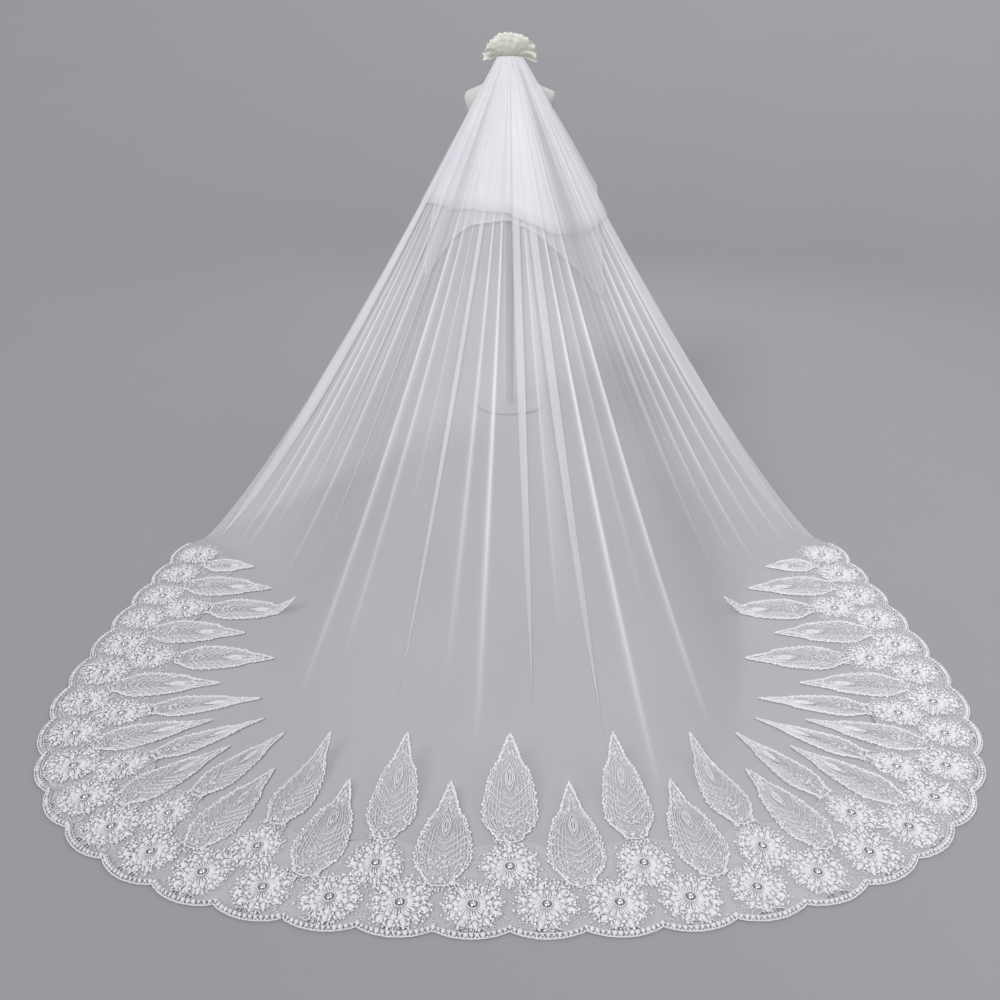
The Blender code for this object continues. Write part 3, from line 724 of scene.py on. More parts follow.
# places where the tulle doubles back on itself: angle, half width (m), height (mm), end share
pleats = (
    (-33.0, 0.0400, 13, 1.00),
    (-23.9, 0.0080, 13, 0.95),
    (-16.6, 0.0075, 12, 0.93),
    (-5.8, 0.0085, 13, 0.90),
    (1.15, 0.0130, 15, 0.90),
    (4.5, 0.0135, 15, 0.93),
    (17.8, 0.0100, 13, 0.95),
    (33.0, 0.0400, 13, 1.00),
)
widestPleat = 1.5  # degrees to each side, close to the comb
pleatProfile = (  # place across the pleat in half widths, share of its height
    (-1.5, 0.00), (-1.25, 0.06), (-1.1, 0.30), (-1.0, 0.60), (-0.8, 0.88), (-0.3, 1.00), (0.3, 1.00),
    (0.8, 0.95), (0.96, 0.84), (1.0, 0.74), (0.94, 0.66), (0.6, 0.60), (0.0, 0.56),
    (-0.6, 0.50), (-0.92, 0.42), (-1.0, 0.30), (-0.92, 0.16), (-0.6, 0.06), (0.0, 0.02),
    (0.6, 0.00), (1.0, 0.00), (1.25, 0.00), (1.5, 0.00),
)


def swellAt(share, end):
    inside = np.clip(share / end, 0.0, 1.0)
    return np.sin(math.pi * inside ** 0.7)


def foldHeightAt(angle, share):
    total = np.zeros(np.broadcast(angle, share).shape)
    for centre, halfWidth, height, end, _ in softFolds:
        across = np.clip(1 - np.abs(angle - centre) / halfWidth, 0.0, 1.0)
        soft = across * across * (3 - 2 * across)
        total += soft * swellAt(share, end) * height / 1000
    return total


def rippleAt(angle, share):
    # shallow creases between the folds, tighter towards the comb
    waves = 0.0
    for rate, size, phase in ((2.9, 1.1, 0.4), (5.3, 0.8, 1.9), (9.1, 0.5, 4.0), (17.0, 0.35, 2.2)):
        bend = phase + 1.3 * np.sin(3.0 * share + phase)
        waves = waves + size * np.sin(np.radians(angle * rate * 10) + bend)
    return waves * np.sin(math.pi * np.clip(share, 0, 1) ** 0.45) / 1000


def veilHeightAt(angle, distance):
    share = shareAt(angle, distance)
    return drapeAt(angle, distance) + foldHeightAt(angle, share) + rippleAt(angle, share)


def trainHeightAt(x, y):
    # top of the tulle or of the lace net at a place on the floor plan
    angle = np.degrees(np.arctan2(x, -y))
    distance = np.hypot(x, y)
    share = shareAt(angle, distance)
    lift = 0.0
    for centre, halfWidth, height, end in pleats:
        width = pleatWidthAt(halfWidth, np.maximum(distance, 0.1))
        across = np.clip(1.5 - np.abs(angle - centre) / width, 0.0, 1.0)
        lift = lift + across * pleatSizeAt(share, end) ** 3 * height / 1000
    return veilHeightAt(angle, distance) + lift + 2 * veil["cloth"]


def pleatSizeAt(share, end):
    return np.clip((end - share) / 0.35, 0.0, 1.0) ** 0.6


def pleatWidthAt(halfWidth, distance):
    return np.minimum(np.degrees(halfWidth / distance), widestPleat)


# Hem and places on the lace

hem = {
    "corner": (1.03, -1.49),
    "sideHalfWidth": 1.075,
    "sideEndY": -2.2,
    "frontDepth": 0.84,
    "frontRoundness": 2.5,
    "samples": 400,
    "scallops": 34,
    "lobe": 0.018,
    "lobeSharpness": 0.7,
    "bandWidth": 0.205,
    "bandWave": 0.014,
    "bandTaper": 0.20,
    "bandEndWidth": 0.100,
}


def hemSamples():
    quarter = hem["samples"] // 2
    down = np.arange(quarter) / quarter
    sideX = hem["corner"][0] + (hem["sideHalfWidth"] - hem["corner"][0]) * np.sin(math.pi / 2 * down)
    sideY = hem["corner"][1] + (hem["sideEndY"] - hem["corner"][1]) * down
    turn = math.pi / 2 * np.arange(quarter + 1) / quarter
    power = 2 / hem["frontRoundness"]
    frontX = hem["sideHalfWidth"] * np.clip(np.cos(turn), 0.0, None) ** power
    frontY = hem["sideEndY"] - hem["frontDepth"] * np.sin(turn) ** power
    half = np.stack([np.concatenate([sideX, frontX]), np.concatenate([sideY, frontY])], axis=1)
    left = half * (-1, 1)
    return np.concatenate([left, half[-2::-1]])


hemPoints = hemSamples()
hemAlong = np.concatenate([[0.0], np.cumsum(np.hypot(*np.diff(hemPoints, axis=0).T))])
hemLength = float(hemAlong[-1])
pitch = hemLength / hem["scallops"]


def onHem(along):
    return np.stack([np.interp(along, hemAlong, hemPoints[:, axis]) for axis in (0, 1)], axis=-1)


def fromHem(along, inward):
    before = np.clip(along - 0.02, 0, hemLength)
    after = np.clip(along + 0.02, 0, hemLength)
    tangent = onHem(after) - onHem(before)
    tangent = tangent / np.linalg.norm(tangent, axis=-1, keepdims=True)
    inwards = np.stack([-tangent[..., 1], tangent[..., 0]], axis=-1)
    return onHem(along) + np.asarray(inward)[..., None] * inwards


def lobeAt(along):
    return hem["lobe"] * np.abs(np.sin(math.pi * along / pitch)) ** hem["lobeSharpness"]


def bandWidthAt(along):
    grown = np.clip(np.minimum(along, hemLength - along) / hem["bandTaper"], 0.0, 1.0)
    full = hem["bandWidth"] - np.cos(math.pi * along / pitch) * hem["bandWave"]
    return hem["bandEndWidth"] + (full - hem["bandEndWidth"]) * np.sin(math.pi / 2 * grown)


def layOnTrain(points, place, depth):
    # carries a motif from its own plane onto the train
    along = place * pitch + points[:, 0]
    spots = fromHem(np.clip(along, 0, hemLength), depth + points[:, 1])
    height = trainHeightAt(spots[:, 0], spots[:, 1]) + points[:, 2]
    return np.column_stack([spots, height])


# Long tier

def edgeDistanceAt(angles):
    # distance of the lace net's inner edge, where the tulle ends
    along = np.linspace(0.0, hemLength, hem["samples"])
    edge = fromHem(along, bandWidthAt(along))
    ends = fromHem(np.array([0.0, hemLength]), np.zeros(2))
    outline = np.concatenate([ends[:1], edge, ends[1:]])
    outlineAngles = np.degrees(np.arctan2(outline[:, 0], -outline[:, 1]))
    return np.interp(angles, outlineAngles, np.hypot(*outline.T))


def longTierColumns():
    # each column is its angle, its place in a pleat in half widths, its lift, the pleat's number
    # and its place once the pleat has opened out flat
    angles = list(np.arange(-veil["sideAngle"], veil["sideAngle"], 0.28)) + [veil["sideAngle"]]
    for centre, halfWidth, _, _, _ in softFolds:
        angles += [centre + halfWidth * side for side in (-1, -0.55, -0.25, -0.1, 0, 0.1, 0.25, 0.55, 1)]
    free = []
    for angle in sorted(angles):
        clear = all(abs(angle - pleat[0]) > widestPleat * 1.02 for pleat in pleats)
        if clear and (not free or angle - free[-1] > 0.045):
            free.append(angle)
    columns = [(angle, 0.0, 0.0, -1, 0.0) for angle in free]
    opened = np.concatenate([[-1.5, -1.25], np.linspace(-1.1, 1.1, len(pleatProfile) - 4), [1.25, 1.5]])
    for number, (centre, _, _, _) in enumerate(pleats):
        columns += [
            (centre + order * 1e-6, across, lift, number, float(opened[order]))
            for order, (across, lift) in enumerate(pleatProfile)
        ]
    return sorted(columns)


def layersOfLongTier(angle, distance, share):
    layers = 1.0 + 2.2 * np.exp(-(distance - veil["combOuter"]) / 0.28)
    under = np.clip((distance - 0.55) / 0.35, 0.25, 1.0)  # gathers even out below the short tier
    for centre, halfWidth, _, end, extra in softFolds:
        core = np.exp(-(((angle - centre) / (0.17 * halfWidth + 0.04)) ** 2))
        wide = np.clip(1 - np.abs(angle - centre) / halfWidth, 0.0, 1.0)
        fade = np.clip((end + 0.04 - share) / 0.45, 0.0, 1.0)
        layers = layers + extra * fade * under * (2.6 * core + 0.42 * wide)
    return layers


def pleatShiftAt(across, width):
    # degrees from the pleat's middle: inside it, close beside it, or where the flat cloth starts
    beside = np.sign(across) * (1.15 * width + 0.07)
    flat = across / 1.5 * widestPleat
    return np.where(np.abs(across) > 1.3, flat, np.where(np.abs(across) > 1.2, beside, across * width))


def makeLongTier():
    columns = longTierColumns()
    base = np.array([c[0] for c in columns])
    across = np.array([c[1] for c in columns])
    lift = np.array([c[2] for c in columns])
    number = np.array([c[3] for c in columns])
    opened = np.array([c[4] for c in columns])
    halfWidth = np.array([pleats[n][1] if n >= 0 else 0.0 for n in number])
    height = np.array([pleats[n][2] / 1000 if n >= 0 else 0.0 for n in number])
    end = np.array([pleats[n][3] if n >= 0 else 1.0 for n in number])
    airShares = np.concatenate([np.linspace(0, 0.12, 10)[:-1], np.linspace(0.12, 1.0, 50)])
    floorShares = np.linspace(0, 1, 9)[1:]
    rows = []
    for share in airShares:
        size = pleatSizeAt(share, end)
        away = veil["combOuter"] + (reachAt(base) - veil["combOuter"]) * share
        width = pleatWidthAt(halfWidth, away)
        closed = np.clip(size / 0.45, 0.0, 1.0)
        place = np.where(np.abs(across) > 1.2, across, across * closed + opened * (1 - closed))
        angle = base + pleatShiftAt(place, width * np.maximum(size, 0.06))
        angle = np.clip(angle, -veil["sideAngle"], veil["sideAngle"])
        reach = np.minimum(reachAt(angle), edgeDistanceAt(angle) - 0.002)
        distance = veil["combOuter"] + (reach - veil["combOuter"]) * share
        raised = lift * height * size ** 3 * (0.35 + 0.65 * swellAt(share, 1.0))
        rows.append((angle, distance, raised))
    for share in floorShares:
        width = pleatWidthAt(halfWidth, reachAt(base))
        angle = base + pleatShiftAt(opened, width * 0.06)
        angle = np.clip(angle, -veil["sideAngle"], veil["sideAngle"])
        reach = np.minimum(reachAt(angle), edgeDistanceAt(angle) - 0.002)
        edge = edgeDistanceAt(angle) - 0.0011
        rows.append((angle, reach + (edge - reach) * share, np.zeros(len(angle))))
    angles, distances, raised = (np.array(values) for values in zip(*rows))
    turns = np.radians(angles)
    heights = veilHeightAt(angles, distances) + raised + veil["cloth"]
    points = np.stack([distances * np.sin(turns), -distances * np.cos(turns), heights], axis=-1)
    steps = np.linalg.norm(np.diff(points[-9], axis=0), axis=1)
    cutAcross = np.concatenate([[0.0], np.cumsum(steps)])
    runs = np.linalg.norm(np.diff(points, axis=0), axis=2)
    cutDown = np.concatenate([np.zeros((1, len(base))), np.cumsum(runs, axis=0)])
    uv = np.stack([np.broadcast_to(cutAcross, cutDown.shape), cutDown], axis=-1)
    mesh = gridMesh("longTier", points, tulle, uv)
    flipIfDown(mesh)
    layers = layersOfLongTier(angles, distances, shareAt(angles, distances))
    folded = (number >= 0) & (np.abs(across) < 1.1)
    shares = shareAt(angles, distances)
    size = pleatSizeAt(shares, end)
    closed = np.clip(size / 0.45, 0.0, 1.0)
    fade = (0.30 + 0.70 * size) * closed + (1 - closed)
    setValue(mesh, "layers", np.where(folded, layers * fade, layers))
    piece = newPiece("longTier", mesh)
    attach(piece, "root")
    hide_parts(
        "long_tier_left", "long_tier_centre_left", "long_tier_centre_right", "long_tier_right"
    )
    print("long tier:", len(mesh.polygons), "faces, cut", round(float(cutAcross[-1]), 2), "wide")
    return piece


longTier = makeLongTier()


# Short tier: a light layer with low corners and the folded body that lies on it

shortTier = {
    "lift": 0.009,
    "liftRun": 0.30,
    "proudEdge": 0.020,
    "proudAngle": 30.0,
    "bodyLift": 0.004,
}
# angle, distance of the light layer's hem
lightHem = (
    (-33.0, 0.42), (-28.5, 0.57), (-23.9, 0.72), (-20.8, 0.85), (-17.7, 0.96), (-14.5, 0.98),
    (-11.8, 0.965), (-6.8, 0.945), (0.0, 0.945), (3.4, 0.97), (6.6, 1.03), (10.2, 1.09),
    (14.6, 1.08), (17.8, 1.03), (21.9, 0.88), (27.6, 0.70), (33.0, 0.61), (36.4, 0.55),
)
# angle, distance of the folded body's hem
bodyHem = (
    (-34.4, 0.598), (-30.0, 0.614), (-26.0, 0.626), (-22.0, 0.654), (-18.0, 0.702),
    (-15.0, 0.770), (-12.0, 0.842), (-9.0, 0.876), (-6.0, 0.894), (-3.0, 0.908), (0.0, 0.920),
    (2.0, 0.934), (4.0, 0.954), (6.0, 0.980), (8.0, 0.992), (10.0, 0.978), (12.0, 0.940),
    (14.0, 0.888), (16.0, 0.838), (18.0, 0.794), (20.0, 0.766), (22.0, 0.742), (25.0, 0.714),
    (28.0, 0.688), (31.0, 0.666), (34.4, 0.648),
)
# angle, half width (degrees), height (mm) at the hem
shortFolds = (
    (-25.2, 1.6, 9), (-20.4, 2.0, 5), (-14.6, 1.8, 10), (-7.9, 1.7, 7), (-0.3, 1.6, 10),
    (5.4, 1.8, 5), (12.8, 1.9, 10), (19.9, 1.7, 8), (25.0, 1.9, 5), (29.2, 1.5, 7),
)


def shortLiftAt(angle, distance, share):
    out = np.minimum((distance - veil["combOuter"]) / shortTier["liftRun"], 1.0)
    lift = 0.0021 + shortTier["lift"] * out
    beyond = np.clip(angle - shortTier["proudAngle"], 0.0, None)
    lift = lift + shortTier["proudEdge"] * out * beyond / (lightHem[-1][0] - shortTier["proudAngle"])
    for centre, halfWidth, height in shortFolds:
        across = np.clip(1 - np.abs(angle - centre) / halfWidth, 0.0, 1.0)
        lift = lift + across * across * (3 - 2 * across) * share * (1.4 - share) * height / 1000
    return lift


def foldEnvelopeAt(angle, share):
    # the short tier lies on the tops of the folds below and bridges the gaps between them
    steps = np.arange(-1.8, 1.81, 0.3)
    tops = [foldHeightAt(angle + step, share) + rippleAt(angle + step, share) for step in steps]
    smooth = np.mean(tops, axis=0)
    return np.maximum(0.55 * np.max(tops, axis=0) + 0.45 * smooth, tops[len(steps) // 2])


def makeShortSheet(name, hemRows, extraLift, layersOf):
    hemAngles, hemDistances = zip(*hemRows)
    angles = np.arange(hemAngles[0], hemAngles[-1] + 0.001, 0.3)
    ends = np.interp(angles, hemAngles, hemDistances)
    smoothing = np.ones(7) / 7
    padded = np.pad(ends, 3, mode="edge")
    ends = np.convolve(padded, smoothing, mode="valid")
    shares = np.linspace(0, 1, 46)[:, None] ** 0.9
    distances = veil["combOuter"] + (ends - veil["combOuter"]) * shares
    angleGrid = np.broadcast_to(angles, distances.shape)
    turns = np.radians(angleGrid)
    veilShares = shareAt(angleGrid, distances)
    heights = drapeAt(angleGrid, distances) + foldEnvelopeAt(angleGrid, veilShares)
    heights = heights + shortLiftAt(angleGrid, distances, shares)
    heights = heights + extraLift * np.minimum(distances / 0.3, 1.0)
    points = np.stack([distances * np.sin(turns), -distances * np.cos(turns), heights], axis=-1)
    cutAcross = 1.35 * (angles - angles[0]) / (angles[-1] - angles[0])
    runs = np.linalg.norm(np.diff(points, axis=0), axis=2)
    cutDown = np.concatenate([np.zeros((1, len(angles))), np.cumsum(runs, axis=0)])
    uv = np.stack([np.broadcast_to(cutAcross, cutDown.shape), cutDown], axis=-1)
    mesh = gridMesh(name, points, tulle, uv)
    flipIfDown(mesh)
    setValue(mesh, "layers", layersOf(angleGrid, distances, shares))
    piece = newPiece(name, mesh)
    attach(piece, "root")
    return piece


def lightLayers(angle, distance, share):
    return 1.0 + 1.0 * np.exp(-(distance - veil["combOuter"]) / 0.2) + 0.4 * (share > 0.985)


def bodyLayers(angle, distance, share):
    # fuller in the middle and on the folds, thinner at the two ends and towards the hem
    middle = np.clip(1 - np.abs(angle - 2.0) / 40, 0.0, 1.0)
    folds = 0.0
    for centre, halfWidth, height in shortFolds:
        folds = folds + np.clip(1 - np.abs(angle - centre) / halfWidth, 0.0, 1.0) * height / 30
    gathers = 0.35 * np.sin(np.radians(angle * 14 + 40)) * np.clip(share * 2, 0.0, 1.0)
    # painted shade down a crease: fewer layers there so the body shows darker
    creaseShade = -0.9 * np.exp(-(((angle + 1.6) / 0.8) ** 2)) * np.clip(share * 3 - 0.4, 0.0, 1.0)
    ends = np.clip(np.minimum(angle + 35.0, 35.0 - angle) / 9.0, 0.0, 1.0)
    soft = np.clip((1 - share) / 0.07, 0.0, 1.0)  # the hem is seen only softly
    full = 2.9 + 0.9 * middle + 0.3 * folds * share + gathers + creaseShade
    return full * (0.35 + 0.65 * ends) * (1.1 - 0.25 * share) * (0.45 + 0.55 * soft)


shortTierLight = makeShortSheet("shortTierLight", lightHem, 0.0, lightLayers)
shortTierBody = makeShortSheet("shortTierBody", bodyHem, shortTier["bodyLift"], bodyLayers)
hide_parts("short_tier")
print("short tier made")


# Lace net with its scalloped edge and cut crescents

medallion = {
    "radius": 0.056,
    "stoneRadius": 0.0066,
    "fingers": 26,
    "lobes": 15,
    "petals": 12,
    "outerDepth": 0.060,
    "innerDepth": 0.152,
    "kinds": 4,
    "loops": 36,
    "blobs": 66,
}
lace = {
    "cord": 0.0125,
    "crescentHalfLength": 0.028,
    "crescentWidth": 0.013,
    "crescentBridge": 0.0025,
    "columnsPerScallop": 40,
    "innerRows": 12,
    "loops": 40,
    "sideFill": 2.2,
}


def crescentWidthAt(fromMiddle):
    # zero where there is no cut
    inside = np.clip(1 - (fromMiddle / lace["crescentHalfLength"]) ** 2, 0.0, None)
    width = lace["crescentWidth"] * np.sqrt(inside)
    return np.where(np.abs(fromMiddle) < lace["crescentBridge"], 0.0, width)


def sideShareAt(place):
    # 0 at the front of the train, 1 on its sides, for a place counted in scallops
    return np.clip((np.abs(place - hem["scallops"] / 2) - 4.5) / 3.0, 0.0, 1.0)


def stitchFillAt(along, depth):
    # full round the medallions, and nearly everywhere on the sides of the train
    centres = [((s + 0.5) * pitch, medallion["outerDepth"]) for s in range(hem["scallops"])]
    centres += [((2 * r + 1) * pitch, medallion["innerDepth"]) for r in range(1, 16)]
    nearest = np.full(along.shape, 1.0)
    for place, inward in centres:
        nearest = np.minimum(nearest, np.hypot(along - place, depth - inward))
    near = np.clip((medallion["radius"] * 1.20 - nearest) / 0.012, 0.0, 1.0)
    side = sideShareAt(along / pitch) * lace["sideFill"]
    inside = np.clip((depth + lobeAt(along) - lace["cord"]) / 0.004, 0.0, 1.0)
    return inside * np.maximum(near, side)


def makeLaceNet():
    perScallop = lace["columnsPerScallop"]
    count = hem["scallops"] * perScallop
    along = hemLength * np.arange(count + 1) / count
    fromMiddle = (np.arange(count + 1) % perScallop / perScallop - 0.5) * pitch
    outer = -lobeAt(along)
    corded = outer + lace["cord"]
    crescent = np.maximum(crescentWidthAt(fromMiddle), 0.0008)
    inner = bandWidthAt(along)
    rows = [outer, outer + lace["cord"] * 0.5, corded, corded + crescent]
    start = corded + crescent
    rows += [start + (inner - start) * share for share in np.linspace(0, 1, lace["innerRows"])[1:]]
    depths = np.array(rows)
    alongGrid = np.broadcast_to(along, depths.shape)
    spots = fromHem(alongGrid, depths)
    stir = 0.0006 * np.sin(alongGrid * 41) * np.sin(depths * 37)
    points = np.concatenate([spots, (stir + 0.0012)[..., None]], axis=-1)
    uv = np.stack([alongGrid, depths], axis=-1)
    mesh = gridMesh("laceNet", points, laceNet, uv)
    setValue(mesh, "layers", np.full(depths.shape, 1.5))
    setValue(mesh, "fill", stitchFillAt(alongGrid, depths))
    middles = (fromMiddle[:-1] + fromMiddle[1:]) / 2
    middles[perScallop - 1 :: perScallop] = pitch / 2
    cut = (np.abs(middles) > lace["crescentBridge"]) & (np.abs(middles) < lace["crescentHalfLength"])
    flipIfDown(mesh)
    removeFaces(mesh, 2 * count + np.flatnonzero(cut))
    piece = newPiece("laceNet", mesh)
    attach(piece, "root")
    stretches = ("left_side", "left_corner", "front", "right_corner", "right_side")
    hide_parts(*(f"lace_band_{stretch}" for stretch in stretches))
    print("lace net:", int(cut.sum()), "faces cut away")
    return piece


def removeFaces(mesh, numbers):
    bm = bmesh.new()
    bm.from_mesh(mesh)
    bm.faces.ensure_lookup_table()
    bmesh.ops.delete(bm, geom=[bm.faces[int(i)] for i in numbers], context="FACES")
    bm.to_mesh(mesh)
    bm.free()


laceNetPiece = makeLaceNet()


def hemLine(first, last, depthOf, step, height, wobble=0.0, seed=0):
    # a line along the hem at a depth that may change
    count = max(int(round((last - first) / step)), 2)
    along = np.linspace(first, last, count + 1)
    random = np.random.default_rng(seed)
    stray = wobble * random.standard_normal(len(along))
    spots = fromHem(along, depthOf(along) + stray)
    top = trainHeightAt(spots[:, 0], spots[:, 1])
    return np.column_stack([spots, np.minimum(top, 0.0018) + height])


def squiggle(random, size, steps=6):
    # a small open loop of thread in its own plane
    start = random.uniform(0, 2 * math.pi)
    sweep = random.uniform(2.6, 5.0) * random.choice((-1, 1))
    turn = start + sweep * np.linspace(0, 1, steps)
    stretch = random.uniform(0.5, 1.0)
    tilt = random.uniform(0, math.pi)
    x, y = np.cos(turn) * size, np.sin(turn) * size * stretch
    return np.stack([x * math.cos(tilt) - y * math.sin(tilt), x * math.sin(tilt) + y * math.cos(tilt)], axis=1)


def makeScallopEdge():
    lines = []
    depths = (
        (lambda along: -lobeAt(along) + 0.0008, 0.0010),
        (lambda along: -lobeAt(along) + lace["cord"], 0.0006),
    )
    for number, (depthOf, height) in enumerate(depths):
        lines.append((hemLine(0.0, hemLength, depthOf, 0.0045, height, 0.0004, number), False))
    cords = threadLines(lines, 0.0016, 4)
    random = np.random.default_rng(11)
    loops = []
    for scallop in range(hem["scallops"]):
        middle = (scallop + 0.5) * pitch
        for side in (-1, 1):
            x = np.linspace(lace["crescentBridge"], lace["crescentHalfLength"], 14)
            depth = lace["cord"] - lobeAt(middle + side * x) + crescentWidthAt(x * 0.999)
            spots = fromHem(middle + side * x, depth)
            loops.append((np.column_stack([spots, np.full(len(x), 0.0022)]), False))
            for bar in np.linspace(0.25, 0.8, 3):  # bars across the open work
                at = middle + side * bar * lace["crescentHalfLength"]
                near = lace["cord"] - lobeAt(at)
                far = near + float(crescentWidthAt(np.array(bar * lace["crescentHalfLength"])))
                spots = fromHem(np.array([at, at]), np.array([near, far]))
                loops.append((np.column_stack([spots, np.full(2, 0.0018)]), False))
        for _ in range(lace["loops"]):  # thread loops all over the net
            at = middle + random.uniform(-0.5, 0.5) * pitch
            first = lace["cord"] + 0.006 - float(lobeAt(np.array(at)))
            last = float(bandWidthAt(np.array(at))) - 0.012
            depth = first + (last - first) * random.uniform(0, 1) ** 1.5
            ring = squiggle(random, random.uniform(0.0028, 0.0056), 7)
            spots = fromHem(np.clip(at + ring[:, 0], 0, hemLength), depth + ring[:, 1])
            loops.append((np.column_stack([spots, np.full(len(ring), 0.0024)]), False))
    openWork = threadLines(loops, 0.0010, 3)
    beadDepths = (lambda along: -lobeAt(along) + 0.0068, lambda along: -lobeAt(along) + 0.0010)
    beads = [
        beadLines([(hemLine(0.0, hemLength, depthOf, 0.004, 0.0032), False)], radius, spacing, 5)
        for depthOf, radius, spacing in zip(beadDepths, (0.0042, 0.0017), (0.0100, 0.0066))
    ]
    parts = [arraysAs(cords, 0), arraysAs(openWork, 0), arraysAs(beads[0], 0), arraysAs(beads[1], 1)]
    mesh = meshFromArrays("scallopEdge", parts, [whiteThread, seedBead])
    piece = newPiece("scallopEdge", mesh)
    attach(piece, "root")
    print("scallop edge:", len(mesh.polygons), "faces")
    return piece


scallopEdge = makeScallopEdge()


# Medallions



def domeMesh(outline, height, ridge, material):
    # a low raised patch over a closed outline, highest along its middle
    outline = np.asarray(outline)
    centre = outline.mean(axis=0)
    inner = centre + (outline - centre) * 0.55
    count = len(outline)
    points = [(x, y, 0.0) for x, y in outline]
    points += [(x, y, height * 0.8) for x, y in inner]
    points.append((*centre, height * ridge))
    faces = []
    for i in range(count):
        j = (i + 1) % count
        faces.append((i, j, count + j, count + i))
        faces.append((count + i, count + j, 2 * count))
    return newMesh("dome", points, faces, material)


def petalOutline(length, halfWidth, points=14):
    # a pointed oval from the origin along +X
    share = np.linspace(0, 1, points // 2 + 1)
    width = halfWidth * np.sin(math.pi * share ** 0.75) ** 0.9
    upper = np.stack([share * length, width], axis=1)
    lower = np.stack([share[::-1] * length, -width[::-1]], axis=1)
    return np.concatenate([upper, lower[1:-1]])


def fingerOutline(length):
    # narrow at the root, round at the tip, swept a little to one side
    right = np.array([(0.0, 0.055), (0.45, 0.085), (0.78, 0.135), (0.94, 0.11), (1.0, 0.0)])
    both = np.concatenate([right, right[-2::-1] * (1, -1)]) * length
    both[:, 1] += 0.16 * both[:, 0] ** 2 / length
    return both


def makePetal(length, halfWidth):
    outline = petalOutline(length, halfWidth, 12)
    dome = domeMesh(outline * (0.90, 0.62) + (length * 0.04, 0.0), 0.0030, 1.25, whiteThread)
    rim = np.column_stack([outline * (1.02, 1.16), np.full(len(outline), 0.0014)])
    lines = [(rim, True)]
    for side in (-1, 1):  # scrolls beside the tip
        turn = np.linspace(0, 4.4, 6)
        curl = 0.0028 * np.stack([np.cos(turn), side * np.sin(turn)], axis=1)
        curl = curl + (length * 0.93, side * halfWidth * 0.75)
        lines.append((np.column_stack([curl, np.full(len(curl), 0.0014)]), False))
    threads = threadLines(lines, 0.0011, 3)
    knots = [(length * 1.06, 0.0, 0.0018)]
    knots += [(length * x, side * halfWidth * y, 0.0020) for x, y in ((0.3, 1.1), (0.68, 1.05)) for side in (-1, 1)]
    knotLines = [([(x, y, z), (x + 0.0004, y, z)], False) for x, y, z in knots]
    tip = beadLines(knotLines, 0.0021, 1.0, 3, 0.25)
    return meshFromArrays(
        "petal", [arraysAs(dome, 0), arraysAs(threads, 0), arraysAs(tip, 1)], [whiteThread, seedBead]
    )


def makeStone():
    # a faceted stone in its claw ring
    sides = 10
    profile = ((0.0, 0.0018), (1.0, 0.0022), (0.96, 0.0030), (0.62, 0.0048), (0.30, 0.0052))
    bm = bmesh.new()
    rings = []
    for step, (share, height) in enumerate(profile[1:]):
        twist = math.pi / sides * (step % 2)
        ring = []
        for side in range(sides):
            turn = 2 * math.pi * side / sides + twist
            radius = share * medallion["stoneRadius"]
            ring.append(bm.verts.new((radius * math.cos(turn), radius * math.sin(turn), height)))
        rings.append(ring)
    for step, (lower, upper) in enumerate(zip(rings, rings[1:])):
        for side in range(sides):
            after = (side + 1) % sides
            if step % 2:
                bm.faces.new((lower[side], lower[after], upper[side]))
                bm.faces.new((lower[side], upper[side], upper[side - 1]))
            else:
                bm.faces.new((lower[side], lower[after], upper[side]))
                bm.faces.new((lower[side], upper[side], upper[side - 1]))
    bm.faces.new(rings[-1])
    bm.faces.new(rings[0][::-1])
    bmesh.ops.recalc_face_normals(bm, faces=bm.faces[:])
    mesh = bpy.data.meshes.new("stone")
    bm.to_mesh(mesh)
    bm.free()
    return mesh


def ringLine(radius, height, count, wave=0.0, waves=0):
    turn = 2 * math.pi * np.arange(count) / count
    out = radius + wave * np.cos(turn * waves)
    return np.column_stack([out * np.cos(turn), out * np.sin(turn), np.full(count, height)])


def scatterBlobs(random, spots, radius, seed):
    # small knots of thread or beads on single spots
    lines = [([(x, y, z), (x + 0.0004, y, z)], False) for x, y, z in spots]
    return beadLines(lines, radius, 1.0, seed, 0.45, whiteThread)


